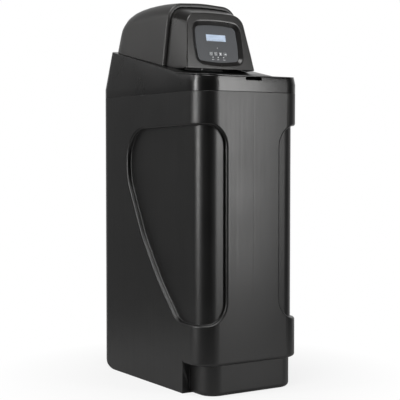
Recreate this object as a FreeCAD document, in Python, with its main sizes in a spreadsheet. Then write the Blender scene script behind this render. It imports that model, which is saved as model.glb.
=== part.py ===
"""Cabinet water softener: resin tank, control valve and brine tank in one upright cabinet.

Millimetres. X runs across (right is +X seen from the front), the front faces -Y, +Z is up.
The origin lies on the floor under the middle of the cabinet.
"""
import FreeCAD
import Part
import math
import os

import Sketcher

Vector = FreeCAD.Vector

# Driving dimensions. Heights "above_rim" count from the top edge of the cabinet.
SIZES = {
    # cabinet
    "cabinet_width": 330,
    "cabinet_depth": 552,
    "cabinet_height": 796,
    "cabinet_wall": 4.5,
    "front_corner_radius": 58,
    "rear_corner_radius": 45,
    "rear_bottom_radius": 80,
    "plinth_height": 81,
    "plinth_inset": 23,
    "plinth_setback": 5,
    "plinth_length": 92.5,
    "plinth_corner_radius": 45,
    "overhang_edge_radius": 8,
    "toe_edge_radius": 12,
    # moulded side recesses, measured from the outer faces and the rim
    "recess_depth": 12,
    "recess_top_below_rim": 86,
    "recess_bottom_height": 188,
    "recess_rear_reach": 388,
    "recess_front_width": 79,
    "recess_corner_radius": 58,
    # top cover
    "cover_wall": 3.5,
    "cover_band": 24,
    "cover_lean": 10.5,
    "deck_front_above_rim": 42.6,
    "deck_front_slope": 4.3,
    "deck_rear_slope": 11.95,
    "deck_break_from_front": 125,
    "deck_break_radius": 650,
    "skirt_depth": 12,
    "skirt_wall": 3,
    "seat_gap": 0.3,
    # salt lid
    "lid_length": 148,
    "lid_thickness": 3.5,
    "lid_skirt_depth": 8,
    "lid_skirt_wall": 2.5,
    "lid_skirt_gap": 1,
    "salt_opening_width": 232,
    "salt_opening_length": 106,
    "salt_opening_from_front": 22,
    "salt_opening_radius": 18,
    "notch_width": 52,
    "notch_depth": 14,
    "notch_height": 11,
    "hinge_pin_radius": 2,
    "hinge_running_gap": 0.05,
    "hinge_spacing": 150,
    "hinge_barrel_length": 20,
    "hinge_ear_length": 8,
    # hood
    "hood_wall": 3,
    "hood_foot_above_rim": 68,
    "hood_foot_from_front": 153.5,
    "bezel_lean": 12.5,
    "bezel_slope_height": 161,
    "bezel_base_inset": 53.7,
    "bezel_top_inset": 75.5,
    "dome_front_from_front": 246,
    "dome_edge_radius": 7,
    # display opening, heights up the slope of the bezel from its foot
    "opening_inset": 85,
    "opening_foot": 8.6,
    "opening_top": 140,
    "funnel_depth": 7,
    "funnel_width": 10.3,
    "panel_gap": 0.8,
    # control panel and box, depths behind the bezel's plane
    "panel_inset": 11.3,
    "panel_thickness": 3,
    "box_depth": 34,
    "box_wall": 2.5,
    "display_width": 64.6,
    "display_height": 19,
    "display_centre": 91.5,
    "key_size": 11.1,
    "key_gap": 0.25,
    "key_pitch": 15.4,
    "key_centre": 45.5,
    "board_depth": 16,
    "board_thickness": 1.6,
    # resin tank
    "tank_radius": 114.5,
    "tank_wall": 3,
    "tank_bottom": 25,
    "tank_from_front": 338,
    "neck_radius": 36,
    "neck_above_rim": 16,
    "resin_height": 470,
    "riser_radius": 13.3,
    "riser_wall": 2,
    # control valve
    "valve_above_rim": 129,
    "valve_front_from_front": 276,
    "valve_length": 118,
    "piston_bore": 22,
    "piston_seal_radius": 16.5,
    "running_gap": 0.1,
    "port_spacing": 80,
    "port_above_rim": 99,
    "port_radius": 21,
    "port_bore": 14,
    "port_end_from_front": 426,
    "bypass_length": 55,
    "handle_radius": 15,
    "pipe_radius": 16.6,
    "pipe_bore": 12.5,
    "pipe_length": 86,
    "nut_radius": 25,
    # gear train
    "gear_module": 1.5,
    "first_module": 1.25,
    "gear_width": 8,
    "first_width": 6,
    "main_teeth": 48,
    "pinion_teeth": 12,
    "first_teeth": 40,
    "rod_radius": 4,
    "motor_radius": 16,
    "motor_length": 22,
    # brine side
    "well_radius": 40,
    "well_wall": 2.5,
    "well_from_side": 60,
    "well_tank_gap": 7.984,
    "well_below_rim": 26,
    "float_radius": 20,
    "tube_radius": 4.8,
    "tube_bore": 3.2,
    "grid_height": 100,
    "grid_thickness": 5,
    "overflow_from_side": 65,
    "overflow_below_rim": 106,
}


class Size:
    """A length that carries its number and the spreadsheet expression it comes from."""

    def __init__(self, number, text):
        self.number = float(number)
        self.text = text

    def __add__(self, other):
        return Size(self.number + as_size(other).number, f"({self.text} + {as_size(other).text})")

    def __sub__(self, other):
        return Size(self.number - as_size(other).number, f"({self.text} - {as_size(other).text})")

    def __mul__(self, other):
        return Size(self.number * as_size(other).number, f"({self.text} * {as_size(other).text})")

    def __truediv__(self, other):
        return Size(self.number / as_size(other).number, f"({self.text} / {as_size(other).text})")

    def __neg__(self):
        return Size(-self.number, f"(-1 * {self.text})")

    def __radd__(self, other):
        return as_size(other) + self

    def __rsub__(self, other):
        return as_size(other) - self

    def __rmul__(self, other):
        return as_size(other) * self


def as_size(value):
    if isinstance(value, Size):
        return value
    return Size(value, repr(float(value)) if value >= 0 else f"(-{abs(float(value))!r})")


def tangent(angle):
    angle = as_size(angle)
    return Size(math.tan(math.radians(angle.number)), f"tan({angle.text})")


def cosine(angle):
    angle = as_size(angle)
    return Size(math.cos(math.radians(angle.number)), f"cos({angle.text})")


def sine(angle):
    angle = as_size(angle)
    return Size(math.sin(math.radians(angle.number)), f"sin({angle.text})")


def root(value):
    return Size(math.sqrt(value.number), f"sqrt({value.text})")


class Sheet:
    """The driving dimensions, as cells of a spreadsheet and as attributes."""

    def __init__(self, document, table):
        cells = document.addObject("Spreadsheet::Sheet", "Sizes")
        for row, (alias, number) in enumerate(table.items(), start=1):
            cells.set(f"A{row}", alias)
            cells.set(f"B{row}", str(number))
            cells.setAlias(f"B{row}", alias)
            setattr(self, alias, Size(number, f"Sizes.{alias}"))


doc = FreeCAD.newDocument("water_softener")
S = Sheet(doc, SIZES)
doc.recompute()


def bind(thing, name, value):
    """Tie a property to the spreadsheet."""
    thing.setExpression(name, as_size(value).text)


def place(thing, x=0, y=0, z=0, axis=None, angle=0):
    """Move a sub-part to its place, after turning it about an axis."""
    if axis is not None:
        thing.Placement = FreeCAD.Placement(Vector(), FreeCAD.Rotation(Vector(*axis), 1))
        bind(thing, ".Placement.Rotation.Angle", angle)
    bind(thing, ".Placement.Base.x", x)
    bind(thing, ".Placement.Base.y", y)
    bind(thing, ".Placement.Base.z", z)
    return thing


def new_body(name):
    return doc.addObject("PartDesign::Body", name)


def new_sketch(body, name, role="XY_Plane", offset=0):
    """An empty sketch on one of the body's own planes, moved along that plane's normal."""
    made = body.newObject("Sketcher::SketchObject", name)
    plane = [item for item in body.Origin.OriginFeatures if item.Role == role][0]
    made.AttachmentSupport = [(plane, "")]
    made.MapMode = "FlatFace"
    bind(made, ".AttachmentOffset.Base.z", offset)
    return made


def fix_point(made, geometry, position, point):
    """Hold one sketch point at a place that the spreadsheet gives."""
    for kind, value in zip(("DistanceX", "DistanceY"), point):
        index = made.addConstraint(
            Sketcher.Constraint(kind, -1, 1, geometry, position, value.number))
        made.setExpression(f"Constraints[{index}]", value.text)


def outline(made, corners, radii=0):
    """A closed line through the corners, with each corner rounded by its radius."""
    points = [(as_size(x), as_size(y)) for x, y in corners]
    count = len(points)
    if not isinstance(radii, (list, tuple)):
        radii = [radii] * count
    flat = [Vector(x.number, y.number, 0) for x, y in points]
    trims = []
    for i in range(count):
        to_last = (flat[i - 1] - flat[i]).normalize()
        to_next = (flat[(i + 1) % count] - flat[i]).normalize()
        half = to_last.getAngle(to_next) / 2
        trims.append((to_last, to_next, half, as_size(radii[i]).number / math.tan(half)))
    lines = []
    for i in range(count):
        start = flat[i] + trims[i][1] * trims[i][3]
        after = (i + 1) % count
        end = flat[after] + trims[after][0] * trims[after][3]
        lines.append(made.addGeometry(Part.LineSegment(start, end), False))
    for i in range(count):
        before, line = lines[i - 1], lines[i]
        radius = as_size(radii[i])
        if radius.number == 0:
            made.addConstraint(Sketcher.Constraint("Coincident", before, 2, line, 1))
            fix_point(made, line, 1, points[i])
            continue
        to_last, to_next, half, trim = trims[i]
        middle = flat[i] + (to_last + to_next).normalize() * (radius.number / math.sin(half))
        first, last = flat[i] + to_last * trim, flat[i] + to_next * trim
        left_turn = (first - flat[i]).cross(last - flat[i]).z < 0
        begin, finish = (first, last) if left_turn else (last, first)
        turn = [math.atan2(p.y - middle.y, p.x - middle.x) for p in (begin, finish)]
        circle = Part.Circle(middle, Vector(0, 0, 1), radius.number)
        arc = made.addGeometry(Part.ArcOfCircle(circle, turn[0], turn[1]), False)
        dot = made.addGeometry(Part.Point(flat[i]), True)
        made.addConstraint(Sketcher.Constraint("Tangent", before, 2, arc, 1 if left_turn else 2))
        made.addConstraint(Sketcher.Constraint("Tangent", line, 1, arc, 2 if left_turn else 1))
        made.addConstraint(Sketcher.Constraint("PointOnObject", dot, 1, before))
        made.addConstraint(Sketcher.Constraint("PointOnObject", dot, 1, line))
        fix_point(made, dot, 1, points[i])
        index = made.addConstraint(Sketcher.Constraint("Radius", arc, radius.number))
        made.setExpression(f"Constraints[{index}]", radius.text)
    return made


def circles(made, places, radius):
    """Circles of one radius at the given places."""
    radius = as_size(radius)
    for x, y in places:
        x, y = as_size(x), as_size(y)
        middle = Vector(x.number, y.number, 0)
        ring = made.addGeometry(Part.Circle(middle, Vector(0, 0, 1), radius.number), False)
        fix_point(made, ring, 3, (x, y))
        index = made.addConstraint(Sketcher.Constraint("Radius", ring, radius.number))
        made.setExpression(f"Constraints[{index}]", radius.text)
    return made


def box_corners(x0, y0, x1, y1):
    return [(x0, y0), (x1, y0), (x1, y1), (x0, y1)]


def pad(body, profile, length, taper=0):
    made = body.newObject("PartDesign::Pad", profile.Name + "Pad")
    made.Profile = profile
    bind(made, "Length", length)
    bind(made, "TaperAngle", taper)
    profile.Visibility = False
    doc.recompute()
    return made


def pocket(body, profile, length, backwards=False):
    """Cut away material, and check that the cut met some."""
    before = body.Shape.Volume
    made = body.newObject("PartDesign::Pocket", profile.Name + "Pocket")
    made.Profile = profile
    made.Reversed = backwards
    bind(made, "Length", length)
    doc.recompute()
    if not body.Shape.Volume < before - 1e-6:
        raise ValueError(f"{profile.Name} cuts nothing")
    return made


def revolve(body, profile, axis="V_Axis"):
    made = body.newObject("PartDesign::Revolution", profile.Name + "Turn")
    made.Profile = profile
    made.ReferenceAxis = (profile, [axis])
    made.Angle = 360
    doc.recompute()
    return made


def loft(body, sections, ruled=False):
    made = body.newObject("PartDesign::AdditiveLoft", sections[0].Name + "Loft")
    made.Profile = sections[0]
    made.Sections = sections[1:]
    made.Ruled = ruled
    doc.recompute()
    return made


def fillet(body, radius, chooser):
    """Round the edges of a body that the chooser accepts."""
    base = body.Tip
    edges = [f"Edge{n}" for n, edge in enumerate(base.Shape.Edges, start=1) if chooser(edge)]
    made = body.newObject("PartDesign::Fillet", body.Name + "Fillet")
    made.Base = (base, edges)
    bind(made, "Radius", radius)
    doc.recompute()
    return made


def prism(name, role, corners, radii, start, length, taper=0):
    """A body with one padded outline."""
    body = new_body(name)
    profile = outline(new_sketch(body, name + "Outline", role, start), corners, radii)
    pad(body, profile, length, taper)
    return body


def combine(kind, name, *parts):
    """A boolean of whole sub-parts: Cut, Fuse or Common."""
    if kind == "Cut" and len(parts) > 2:
        parts = (parts[0], combine("Fuse", name + "Tools", *parts[1:]))
    if kind == "Cut":
        made = doc.addObject("Part::Cut", name)
        made.Base, made.Tool = parts
    else:
        made = doc.addObject("Part::Multi" + kind, name)
        made.Shapes = list(parts)
        made.Refine = False
    doc.recompute()
    return made


nodes = []


def node(thing, label):
    """Register a finished sub-part under the name of its file."""
    thing.Label = label
    nodes.append(thing)
    return thing


def rod(name, x, y, z, radius, length, axis="Z"):
    """A cylinder that starts at a point and runs along an axis."""
    made = doc.addObject("Part::Cylinder", name)
    bind(made, "Radius", radius)
    bind(made, "Height", length)
    if axis == "X":
        return place(made, x, y, z, (0, 1, 0), 90)
    if axis == "Y":
        return place(made, x, y, z, (1, 0, 0), -90)
    return place(made, x, y, z)


def across(name, middle, radius, start, length):
    """A rod along X, about a middle given in side view."""
    body = new_body(name)
    pad(body, circles(new_sketch(body, name + "Circle", "YZ_Plane", start), [middle], radius), length)
    return body


def block(name, x0, y0, z0, x1, y1, z1):
    """A box between two corners."""
    made = doc.addObject("Part::Box", name)
    bind(made, "Length", as_size(x1) - x0)
    bind(made, "Width", as_size(y1) - y0)
    bind(made, "Height", as_size(z1) - z0)
    return place(made, x0, y0, z0)


def turned(name, corners, radii=0):
    """A body revolved about its upright axis from a profile of radius and height."""
    body = new_body(name)
    revolve(body, outline(new_sketch(body, name + "Profile", "XZ_Plane"), corners, radii))
    return body


# Common places
side = S.cabinet_width / 2
back = S.cabinet_depth / 2
front = -back
rim = S.cabinet_height
step_line = front + S.plinth_length
overflow_x = S.overflow_from_side - side
overflow_z = rim - S.overflow_below_rim
overflow_neck = 10


def plan(inset):
    """Corners and radii of the cabinet seen from above."""
    corners = box_corners(inset - side, inset + front, side - inset, back - inset)
    near = S.front_corner_radius - inset
    far = S.rear_corner_radius - inset
    return corners, [near, near, far, far]


def foot_plan(inset):
    """Corners and radii of the foot, whose front half is set in for the toes."""
    narrow = side - S.plinth_inset - inset
    lip = front + S.plinth_setback + inset
    wide = side - inset
    turn = step_line + inset
    toe = S.plinth_corner_radius - inset
    far = S.rear_corner_radius - inset
    corners = [(-narrow, lip), (narrow, lip), (narrow, turn), (wide, turn)]
    corners += [(wide, back - inset), (-wide, back - inset), (-wide, turn), (-narrow, turn)]
    return corners, [toe, toe, 0, 0, far, far, 0, 0]


# Cabinet: a rotationally moulded brine tank with a toe space and two wrapped side recesses
def cabinet_block(name, inset, bottom, top):
    """The full height of the cabinet, its foot and its rounded rear bottom edge."""
    body = new_body(name)
    pad(body, outline(new_sketch(body, name + "Plan", offset=S.plinth_height + inset), *plan(inset)),
        top - S.plinth_height - inset)
    if inset.number == 0:
        under = S.plinth_height.number
        fillet(body, S.overhang_edge_radius, lambda edge: abs(edge.CenterOfMass.z - under) < 0.01
               and edge.BoundBox.ZLength < 0.01 and edge.BoundBox.YMin < step_line.number
               and edge.BoundBox.YMax < step_line.number)
    foot = outline(new_sketch(body, name + "Foot", offset=bottom), *foot_plan(inset))
    pad(body, foot, S.plinth_height + S.overhang_edge_radius + inset + 1 - bottom)
    ground = bottom.number
    fillet(body, S.toe_edge_radius - inset / 2, lambda edge: abs(edge.CenterOfMass.z - ground) < 0.01
           and edge.BoundBox.ZLength < 0.01 and edge.BoundBox.YMax < step_line.number)
    reach = S.rear_bottom_radius - inset
    wall = back - inset
    corner = [(wall + 5, bottom - 5), (wall + 5, bottom + reach + 5), (wall, bottom + reach + 5),
              (wall, bottom), (wall - reach - 5, bottom), (wall - reach - 5, bottom - 5)]
    heel = new_sketch(body, name + "Heel", "YZ_Plane", -side - 5)
    pocket(body, outline(heel, corner, [0, 0, 0, reach, 0, 0]), S.cabinet_width + 10, True)
    return body


def recess_layer(name, margin, depth):
    """What the two recesses take from the outer face, grown by a margin."""
    top = rim - S.recess_top_below_rim + margin
    low = S.recess_bottom_height - margin
    rear = front + S.recess_rear_reach + margin
    start = front - 20
    corners = [(start, low), (rear - 269 - margin, low), (rear - 172, low + 100), (rear - 84, low + 217),
               (rear, top - 145), (rear, top - 11), (start, top)]
    radii = [0, 60, 500, 400, 150, 88, 0]
    flank = prism(name + "Flank", "YZ_Plane", corners, radii, -side - 20, S.cabinet_width + 40)
    inner = side - S.recess_front_width - margin
    outer = side + 20
    radius = S.recess_corner_radius
    sides = []
    for hand, sign in (("Left", -1), ("Right", 1)):
        face = box_corners(inner * sign, low, outer * sign, top)
        sides.append(prism(name + hand, "XZ_Plane", face, [radius, 0, 0, radius], -back,
                           S.cabinet_depth + 20))
    core = prism(name + "Core", "XY_Plane", *plan(depth), low - 10, top - low + 20)
    wrap = combine("Fuse", name + "Sides", *sides)
    return combine("Cut", name, combine("Common", name + "Wrap", flank, wrap), core)


cabinet_outer = cabinet_block("CabinetOuter", as_size(0), as_size(0), rim)
cabinet_carved = combine("Cut", "CabinetCarved", cabinet_outer,
                         recess_layer("Recess", as_size(0), S.recess_depth))
cabinet_room = combine("Cut", "CabinetRoom",
                       cabinet_block("CabinetInner", S.cabinet_wall, S.cabinet_wall, rim + 5),
                       recess_layer("Inset", S.cabinet_wall, S.recess_depth + S.cabinet_wall))
overflow_hole = rod("OverflowHole", overflow_x, back - 20, overflow_z, overflow_neck + S.seat_gap, 40, "Y")
cabinet = combine("Cut", "Cabinet", cabinet_carved, cabinet_room, overflow_hole)
node(cabinet, "cabinet_shell")


# Top cover: a band over the cabinet, walls that lean in, and a deck that rises to the rear
def deck_line(drop, start, end):
    """Points of the deck in side view between two places, with the radius at each."""
    origin = front + S.deck_break_from_front
    bend = rim + S.deck_front_above_rim + S.deck_break_from_front * tangent(S.deck_front_slope)
    ahead = origin - as_size(start)
    behind = as_size(end) - origin
    return [(start, bend - ahead * tangent(S.deck_front_slope) - drop), (origin, bend - drop),
            (end, bend + behind * tangent(S.deck_rear_slope) - drop)], [0, S.deck_break_radius, 0]


def deck_height(y):
    """Height of the deck behind its bend."""
    points, _ = deck_line(0, front, y)
    return points[2][1]


lid_rear = front + S.lid_length
cover_bend = rim + S.cover_band


def cover_block(name, inset, bottom):
    """The solid that the cover is moulded round: band, leaning walls and no deck yet."""
    body = new_body(name)
    pad(body, outline(new_sketch(body, name + "Band", offset=bottom), *plan(inset)),
        cover_bend - bottom)
    pad(body, outline(new_sketch(body, name + "Lean", offset=cover_bend), *plan(inset)),
        150, -S.cover_lean)
    return body


def above_deck(name, drop, lid_drop):
    """Everything over the deck, lower by lid_drop where the salt lid lies."""
    near, _ = deck_line(drop + lid_drop, front - 20, lid_rear)
    origin, bend = near[1]
    at_lid = bend + (lid_rear - origin) * tangent(S.deck_rear_slope)
    far, _ = deck_line(drop, front - 20, back + 20)
    high = rim + 400
    corners = [near[0], near[1], (lid_rear, at_lid), (lid_rear, at_lid + lid_drop), far[2],
               (back + 20, high), (front - 20, high)]
    return prism(name, "YZ_Plane", corners, [0, S.deck_break_radius / 3, 0, 0, 0, 0, 0],
                 -side - 20, S.cabinet_width + 40)


def shelf(name, top, thickness, start, end):
    """A slab that follows the deck between two places, with its upper face top below it."""
    upper, _ = deck_line(top, start, end)
    lower, _ = deck_line(top + thickness, start, end)
    bend = S.deck_break_radius / 3
    return prism(name, "YZ_Plane", upper + lower[::-1], [0, bend, 0, 0, bend, 0], -side - 20,
                 S.cabinet_width + 40)


cover_outer = cover_block("CoverOuter", as_size(0), rim)
cover_solid = combine("Cut", "CoverSolid", cover_outer,
                      above_deck("CoverTop", as_size(0), S.lid_thickness + S.seat_gap))
cover_room = combine("Cut", "CoverRoom", cover_block("CoverInner", S.cover_wall, rim - 5),
                     above_deck("CoverCeiling", S.cover_wall, S.lid_thickness + S.seat_gap))
ledge_inset = S.cabinet_wall + S.seat_gap
ledge = prism("CoverLedge", "XY_Plane", *plan(S.cover_wall - 1), rim, 4)
skirt = prism("CoverSkirt", "XY_Plane", *plan(ledge_inset), rim - S.skirt_depth, S.skirt_depth + 4)
skirt_room = prism("CoverSkirtRoom", "XY_Plane", *plan(ledge_inset + S.skirt_wall),
                   rim - S.skirt_depth - 5, S.skirt_depth + 10)
notch_half = S.notch_width / 2
notch_floor = rim + S.deck_front_above_rim - 1.6 - S.notch_height
notch_lining = prism("NotchLining", "XY_Plane",
                     box_corners(-notch_half - S.cover_wall, front + 2, notch_half + S.cover_wall,
                                 front + S.notch_depth + S.cover_wall), 0,
                     notch_floor - S.cover_wall, S.notch_height + S.cover_wall - 3)
notch = prism("Notch", "XY_Plane", box_corners(-notch_half, front - 20, notch_half,
                                               front + S.notch_depth), 0, notch_floor, 40)
salt_half = S.salt_opening_width / 2
salt_front = front + S.salt_opening_from_front
salt_rear = salt_front + S.salt_opening_length
salt_opening = prism("SaltOpening", "XY_Plane", box_corners(-salt_half, salt_front, salt_half, salt_rear),
                     S.salt_opening_radius, rim - 10, 100)
# the control head stands up through the cover under the hood, and the pipes leave at the back
head_front = front + S.hood_foot_from_front + 22
head_half = side - 59
head_opening = prism("HeadOpening", "XY_Plane", [(-head_half, head_front), (head_half, head_front),
                                                 (head_half + 10, back - 60), (-head_half - 10, back - 60)],
                     25, rim - 10, 200)
pipe_slot = prism("PipeSlot", "XZ_Plane", box_corners(-78, rim + 62, 78, rim + 200), [12, 12, 0, 0],
                  -back - 20, 100)
# the lid's hinge lies in a trough behind the salt opening
hinge_line = lid_rear - 5
hinge_height = deck_height(lid_rear) - 8.8
ear_radius = S.hinge_pin_radius + 2
trough_floor = hinge_height - 12
trough_half = side - 10
cheek_start = hinge_line - 11
trough_front = lid_rear - 14
trough_rear = lid_rear + 6
trough_wall = 3
trough_block = prism("TroughBlock", "XY_Plane", box_corners(
    -trough_half - trough_wall, trough_front - trough_wall, trough_half + trough_wall,
    trough_rear + trough_wall), 4, trough_floor - trough_wall, 60)
trough = combine("Common", "HingeTrough", cover_solid, trough_block)
hinge_slot = prism("HingeSlot", "XY_Plane",
                   box_corners(-trough_half, trough_front, trough_half, trough_rear), 1, trough_floor, 100)
# beside the trough the deck keeps two cheeks, and the lid is notched round them
cheek_corners = [(cheek_start, deck_height(cheek_start) - 8), (lid_rear + 1, deck_height(lid_rear + 1) - 8),
                 (lid_rear + 1, deck_height(lid_rear + 1)), (cheek_start, deck_height(cheek_start))]
cheeks = combine("Common", "DeckCheeks", cover_outer, combine(
    "Cut", "CheekPair", prism("CheekBar", "YZ_Plane", cheek_corners, 0, -side - 5, S.cabinet_width + 10),
    block("CheekMiddle", -trough_half, cheek_start - 5, rim, trough_half, lid_rear + 5, rim + 100)))
barrel_half = S.hinge_barrel_length / 2
ears = []
pins = []
barrels = []
barrel_bores = []
for hand, sign in (("Left", -1), ("Right", 1)):
    centre = S.hinge_spacing / 2 * sign
    for end, way in (("Inner", -1), ("Outer", 1)):
        near = centre + (barrel_half + 0.4) * way
        start = near - S.hinge_ear_length if way < 0 else near
        corners = [(hinge_line - ear_radius, trough_floor), (hinge_line + ear_radius, trough_floor),
                   (hinge_line + ear_radius, hinge_height + ear_radius),
                   (hinge_line - ear_radius, hinge_height + ear_radius)]
        ears.append(prism(f"Ear{hand}{end}", "YZ_Plane", corners,
                          [0, 0, ear_radius - 0.1, ear_radius - 0.1], start, S.hinge_ear_length))
    pin_half = barrel_half + 0.4 + S.hinge_ear_length
    middle = (hinge_line, hinge_height)
    pins.append(across(f"Pin{hand}", middle, S.hinge_pin_radius, centre - pin_half, pin_half * 2))
    barrels.append(across(f"Barrel{hand}", middle, ear_radius, centre - barrel_half, barrel_half * 2))
    barrel_bores.append(across(f"Bore{hand}", middle, S.hinge_pin_radius + S.hinge_running_gap,
                               centre - barrel_half - 1, barrel_half * 2 + 2))
hinge_pins = combine("Fuse", "HingePins", *pins)
node(hinge_pins, "lid_hinge_pins")
cover_raw = combine("Fuse", "CoverRaw", combine("Cut", "CoverShell", cover_solid, cover_room), ledge,
                    skirt, notch_lining, trough, cheeks)
cover_open = combine("Cut", "CoverOpen", cover_raw, skirt_room, notch, salt_opening, head_opening,
                     pipe_slot, hinge_slot)
top_cover = combine("Cut", "TopCover", combine("Fuse", "CoverEars", cover_open, *ears), hinge_pins)
node(top_cover, "top_cover")

# Salt lid: the front of the deck, lifting on two pins at its rear edge
lid_block = cover_block("LidBlock", as_size(0), rim)
lid_layer = shelf("LidLayer", as_size(-0.01), S.lid_thickness + 0.01, front - 20, lid_rear)
lid_plate = combine("Common", "LidPlate", lid_block, lid_layer)
skirt_start = salt_front + S.lid_skirt_gap
skirt_end = salt_rear - S.lid_skirt_gap
skirt_side = salt_half - S.lid_skirt_gap
thin = S.lid_skirt_wall
lid_rim = combine("Cut", "LidRim",
                  prism("LidRimOuter", "XY_Plane",
                        box_corners(-skirt_side, skirt_start, skirt_side, skirt_end),
                        S.salt_opening_radius - 1, rim, 100),
                  prism("LidRimInner", "XY_Plane",
                        box_corners(thin - skirt_side, skirt_start + thin, skirt_side - thin,
                                    skirt_end - thin), S.salt_opening_radius - 1 - thin, rim - 5, 110))
lid_skirt = combine("Common", "LidSkirt", lid_rim,
                    shelf("LidSkirtLayer", S.lid_thickness / 2, S.lid_skirt_depth, front - 20, lid_rear))
lid_arms = []
for hand, sign in (("Left", -1), ("Right", 1)):
    centre = S.hinge_spacing / 2 * sign
    corners = [(hinge_line - ear_radius, hinge_height), (hinge_line + 2, hinge_height),
               (hinge_line + 2, hinge_height + 6.5), (hinge_line - ear_radius, hinge_height + 6.5)]
    lid_arms.append(prism(f"LidArm{hand}", "YZ_Plane", corners, 0, centre - barrel_half, barrel_half * 2))
swing_gap = 1.6
lid_notches = [block(f"LidNotch{n}", x, cheek_start - swing_gap, rim, x + 40, lid_rear + 5, rim + 100)
               for n, x in enumerate((-trough_half + S.seat_gap - 40, trough_half - S.seat_gap))]
salt_lid = combine("Cut", "SaltLid", combine("Fuse", "LidWhole", lid_plate, lid_skirt, *barrels, *lid_arms),
                   *barrel_bores, *lid_notches)
node(salt_lid, "salt_lid")


# Hood: a dome with a leaning bezel at its front, lifted off as one
def arch(made, base, half_base, shoulder, half_shoulder, top, round_side, round_top):
    """The section of the hood: leaning sides, round shoulders and a slightly crowned roof."""
    corners = [(-half_base, base), (half_base, base), (half_shoulder, shoulder), (0, top),
               (-half_shoulder, shoulder)]
    return outline(made, corners, [0, 0, round_side, round_top, round_side])


foot_line = front + S.hood_foot_from_front
foot_height = rim + S.hood_foot_above_rim
seam = front + S.dome_front_from_front
hood_base = rim + 44


def bezel_solid(name, inset, wall):
    """Bezel from its leaning front face to the seam with the dome."""
    body = new_body(name)
    front_face = new_sketch(body, name + "Front", "XY_Plane", -wall)
    place(front_face)
    front_face.AttachmentOffset = FreeCAD.Placement(Vector(), FreeCAD.Rotation(Vector(1, 0, 0), 77.5))
    bind(front_face, ".AttachmentOffset.Rotation.Angle", 90 - S.bezel_lean)
    bind(front_face, ".AttachmentOffset.Base.y", foot_line + wall * cosine(S.bezel_lean))
    bind(front_face, ".AttachmentOffset.Base.z", foot_height - wall * sine(S.bezel_lean))
    rise = S.bezel_slope_height
    near_half = side - S.bezel_top_inset - inset
    arch(front_face, as_size(-26), side - S.bezel_base_inset + 3.6 - inset, rise - 5 - inset,
         near_half, rise - inset, 36 - inset, near_half * near_half / 10)
    rear_face = new_sketch(body, name + "Seam", "XZ_Plane", -seam - 5)
    far_half = side - 63 - inset
    arch(rear_face, hood_base, side - 39.5 - inset, rim + 240 - inset, far_half, rim + 246 - inset,
         40 - inset, far_half * far_half / 12)
    loft(body, [front_face, rear_face])
    return body


bezel_outer = bezel_solid("BezelOuter", as_size(0), as_size(0))
bezel_inner = bezel_solid("BezelInner", S.hood_wall, S.hood_wall)


def lean(thing):
    """Set a sub-part drawn flat into the leaning plane of the bezel, its origin at the foot."""
    return place(thing, 0, foot_line, foot_height, (1, 0, 0), 90 - S.bezel_lean)


def window(inset):
    """Corners and radii of the display opening, or of what lies inside it by an inset."""
    half = side - S.opening_inset
    wide = half - inset
    foot = S.opening_foot + inset
    head = S.opening_top - inset
    right = [(0, foot), (wide - 3, foot + 6.5), (wide, (foot + head) / 2), (wide - 3, head - 5.5)]
    left = [(-x, y) for x, y in right[:0:-1]]
    near, far = 25 - inset, 27 - inset
    foot_bend, head_bend = half * half / 21, half * half / 13
    return right + [(as_size(0), head)] + left, [foot_bend, near, 300, far, head_bend, far, 300, near]


def funnel(name):
    """The tapering cut from the bezel's face to the throat in front of the control panel."""
    body = new_body(name)
    depth, width = S.funnel_depth, S.funnel_width
    mouth = outline(new_sketch(body, name + "Mouth", offset=1), *window(-width / depth))
    throat = outline(new_sketch(body, name + "Throat", offset=-depth - 1), *window(width + width / depth))
    loft(body, [mouth, throat])
    return lean(body)


# under the hood runs the deck, and at its front the foot stays level over a shadow gap
meeting = front + S.deck_break_from_front + (foot_height - S.seat_gap - deck_height(
    front + S.deck_break_from_front)) / tangent(S.deck_rear_slope)
behind_hood = back + 40
floor_corners = [(front - 20, rim), (behind_hood, rim),
                 (behind_hood, deck_height(behind_hood) + S.seat_gap), (meeting, foot_height),
                 (front - 20, foot_height)]
hood_floor = prism("HoodFloor", "YZ_Plane", floor_corners, 0, -side - 20, S.cabinet_width + 40)
window_frame = lean(prism("WindowFrame", "XY_Plane", *window(-4), -S.funnel_depth, S.funnel_depth - 1))
bezel_shell = combine("Cut", "BezelShell", bezel_outer, bezel_inner)
bezel = combine("Cut", "Bezel", combine("Fuse", "BezelRaw", bezel_shell, window_frame),
                funnel("Funnel"), hood_floor)
node(bezel, "hood_bezel")

# Dome sections: distance in front of the back, insets from the side, heights over the rim
DOME_SECTIONS = [
    (306, 29, 54, 251.5, 258, 50),
    (216, 24, 51.5, 256, 263, 55),
    (126, 14.6, 48.5, 253, 261, 60),
    (71, 11, 48, 242, 251, 65),
    (41, 17, 57, 219, 228, 60),
    (24, 30, 70, 189, 196, 50),
    (18, 45, 85, 164, 169, 40),
]


DOME_STATIONS = [306, 266, 226, 188, 154, 124, 98, 76, 58, 44, 34, 26, 21, 18]


def dome_row(ahead):
    """The section's numbers at any station, on a smooth curve through the given sections."""
    rows = DOME_SECTIONS
    if ahead >= rows[0][0]:
        return rows[0][1:]
    last = [k for k in range(len(rows) - 1) if rows[k][0] >= ahead >= rows[k + 1][0]][0]
    near, far = rows[last], rows[last + 1]
    before, after = rows[max(last - 1, 0)], rows[min(last + 2, len(rows) - 1)]
    gap = near[0] - far[0]
    part = (near[0] - ahead) / gap
    values = []
    for k in range(1, len(near)):
        rise_in = (far[k] - before[k]) / (before[0] - far[0]) * gap
        rise_out = (after[k] - near[k]) / (near[0] - after[0]) * gap
        square, cube = part ** 2, part ** 3
        values.append(near[k] * (2 * cube - 3 * square + 1) + rise_in * (cube - 2 * square + part)
                      + far[k] * (3 * square - 2 * cube) + rise_out * (cube - square))
    return values


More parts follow.
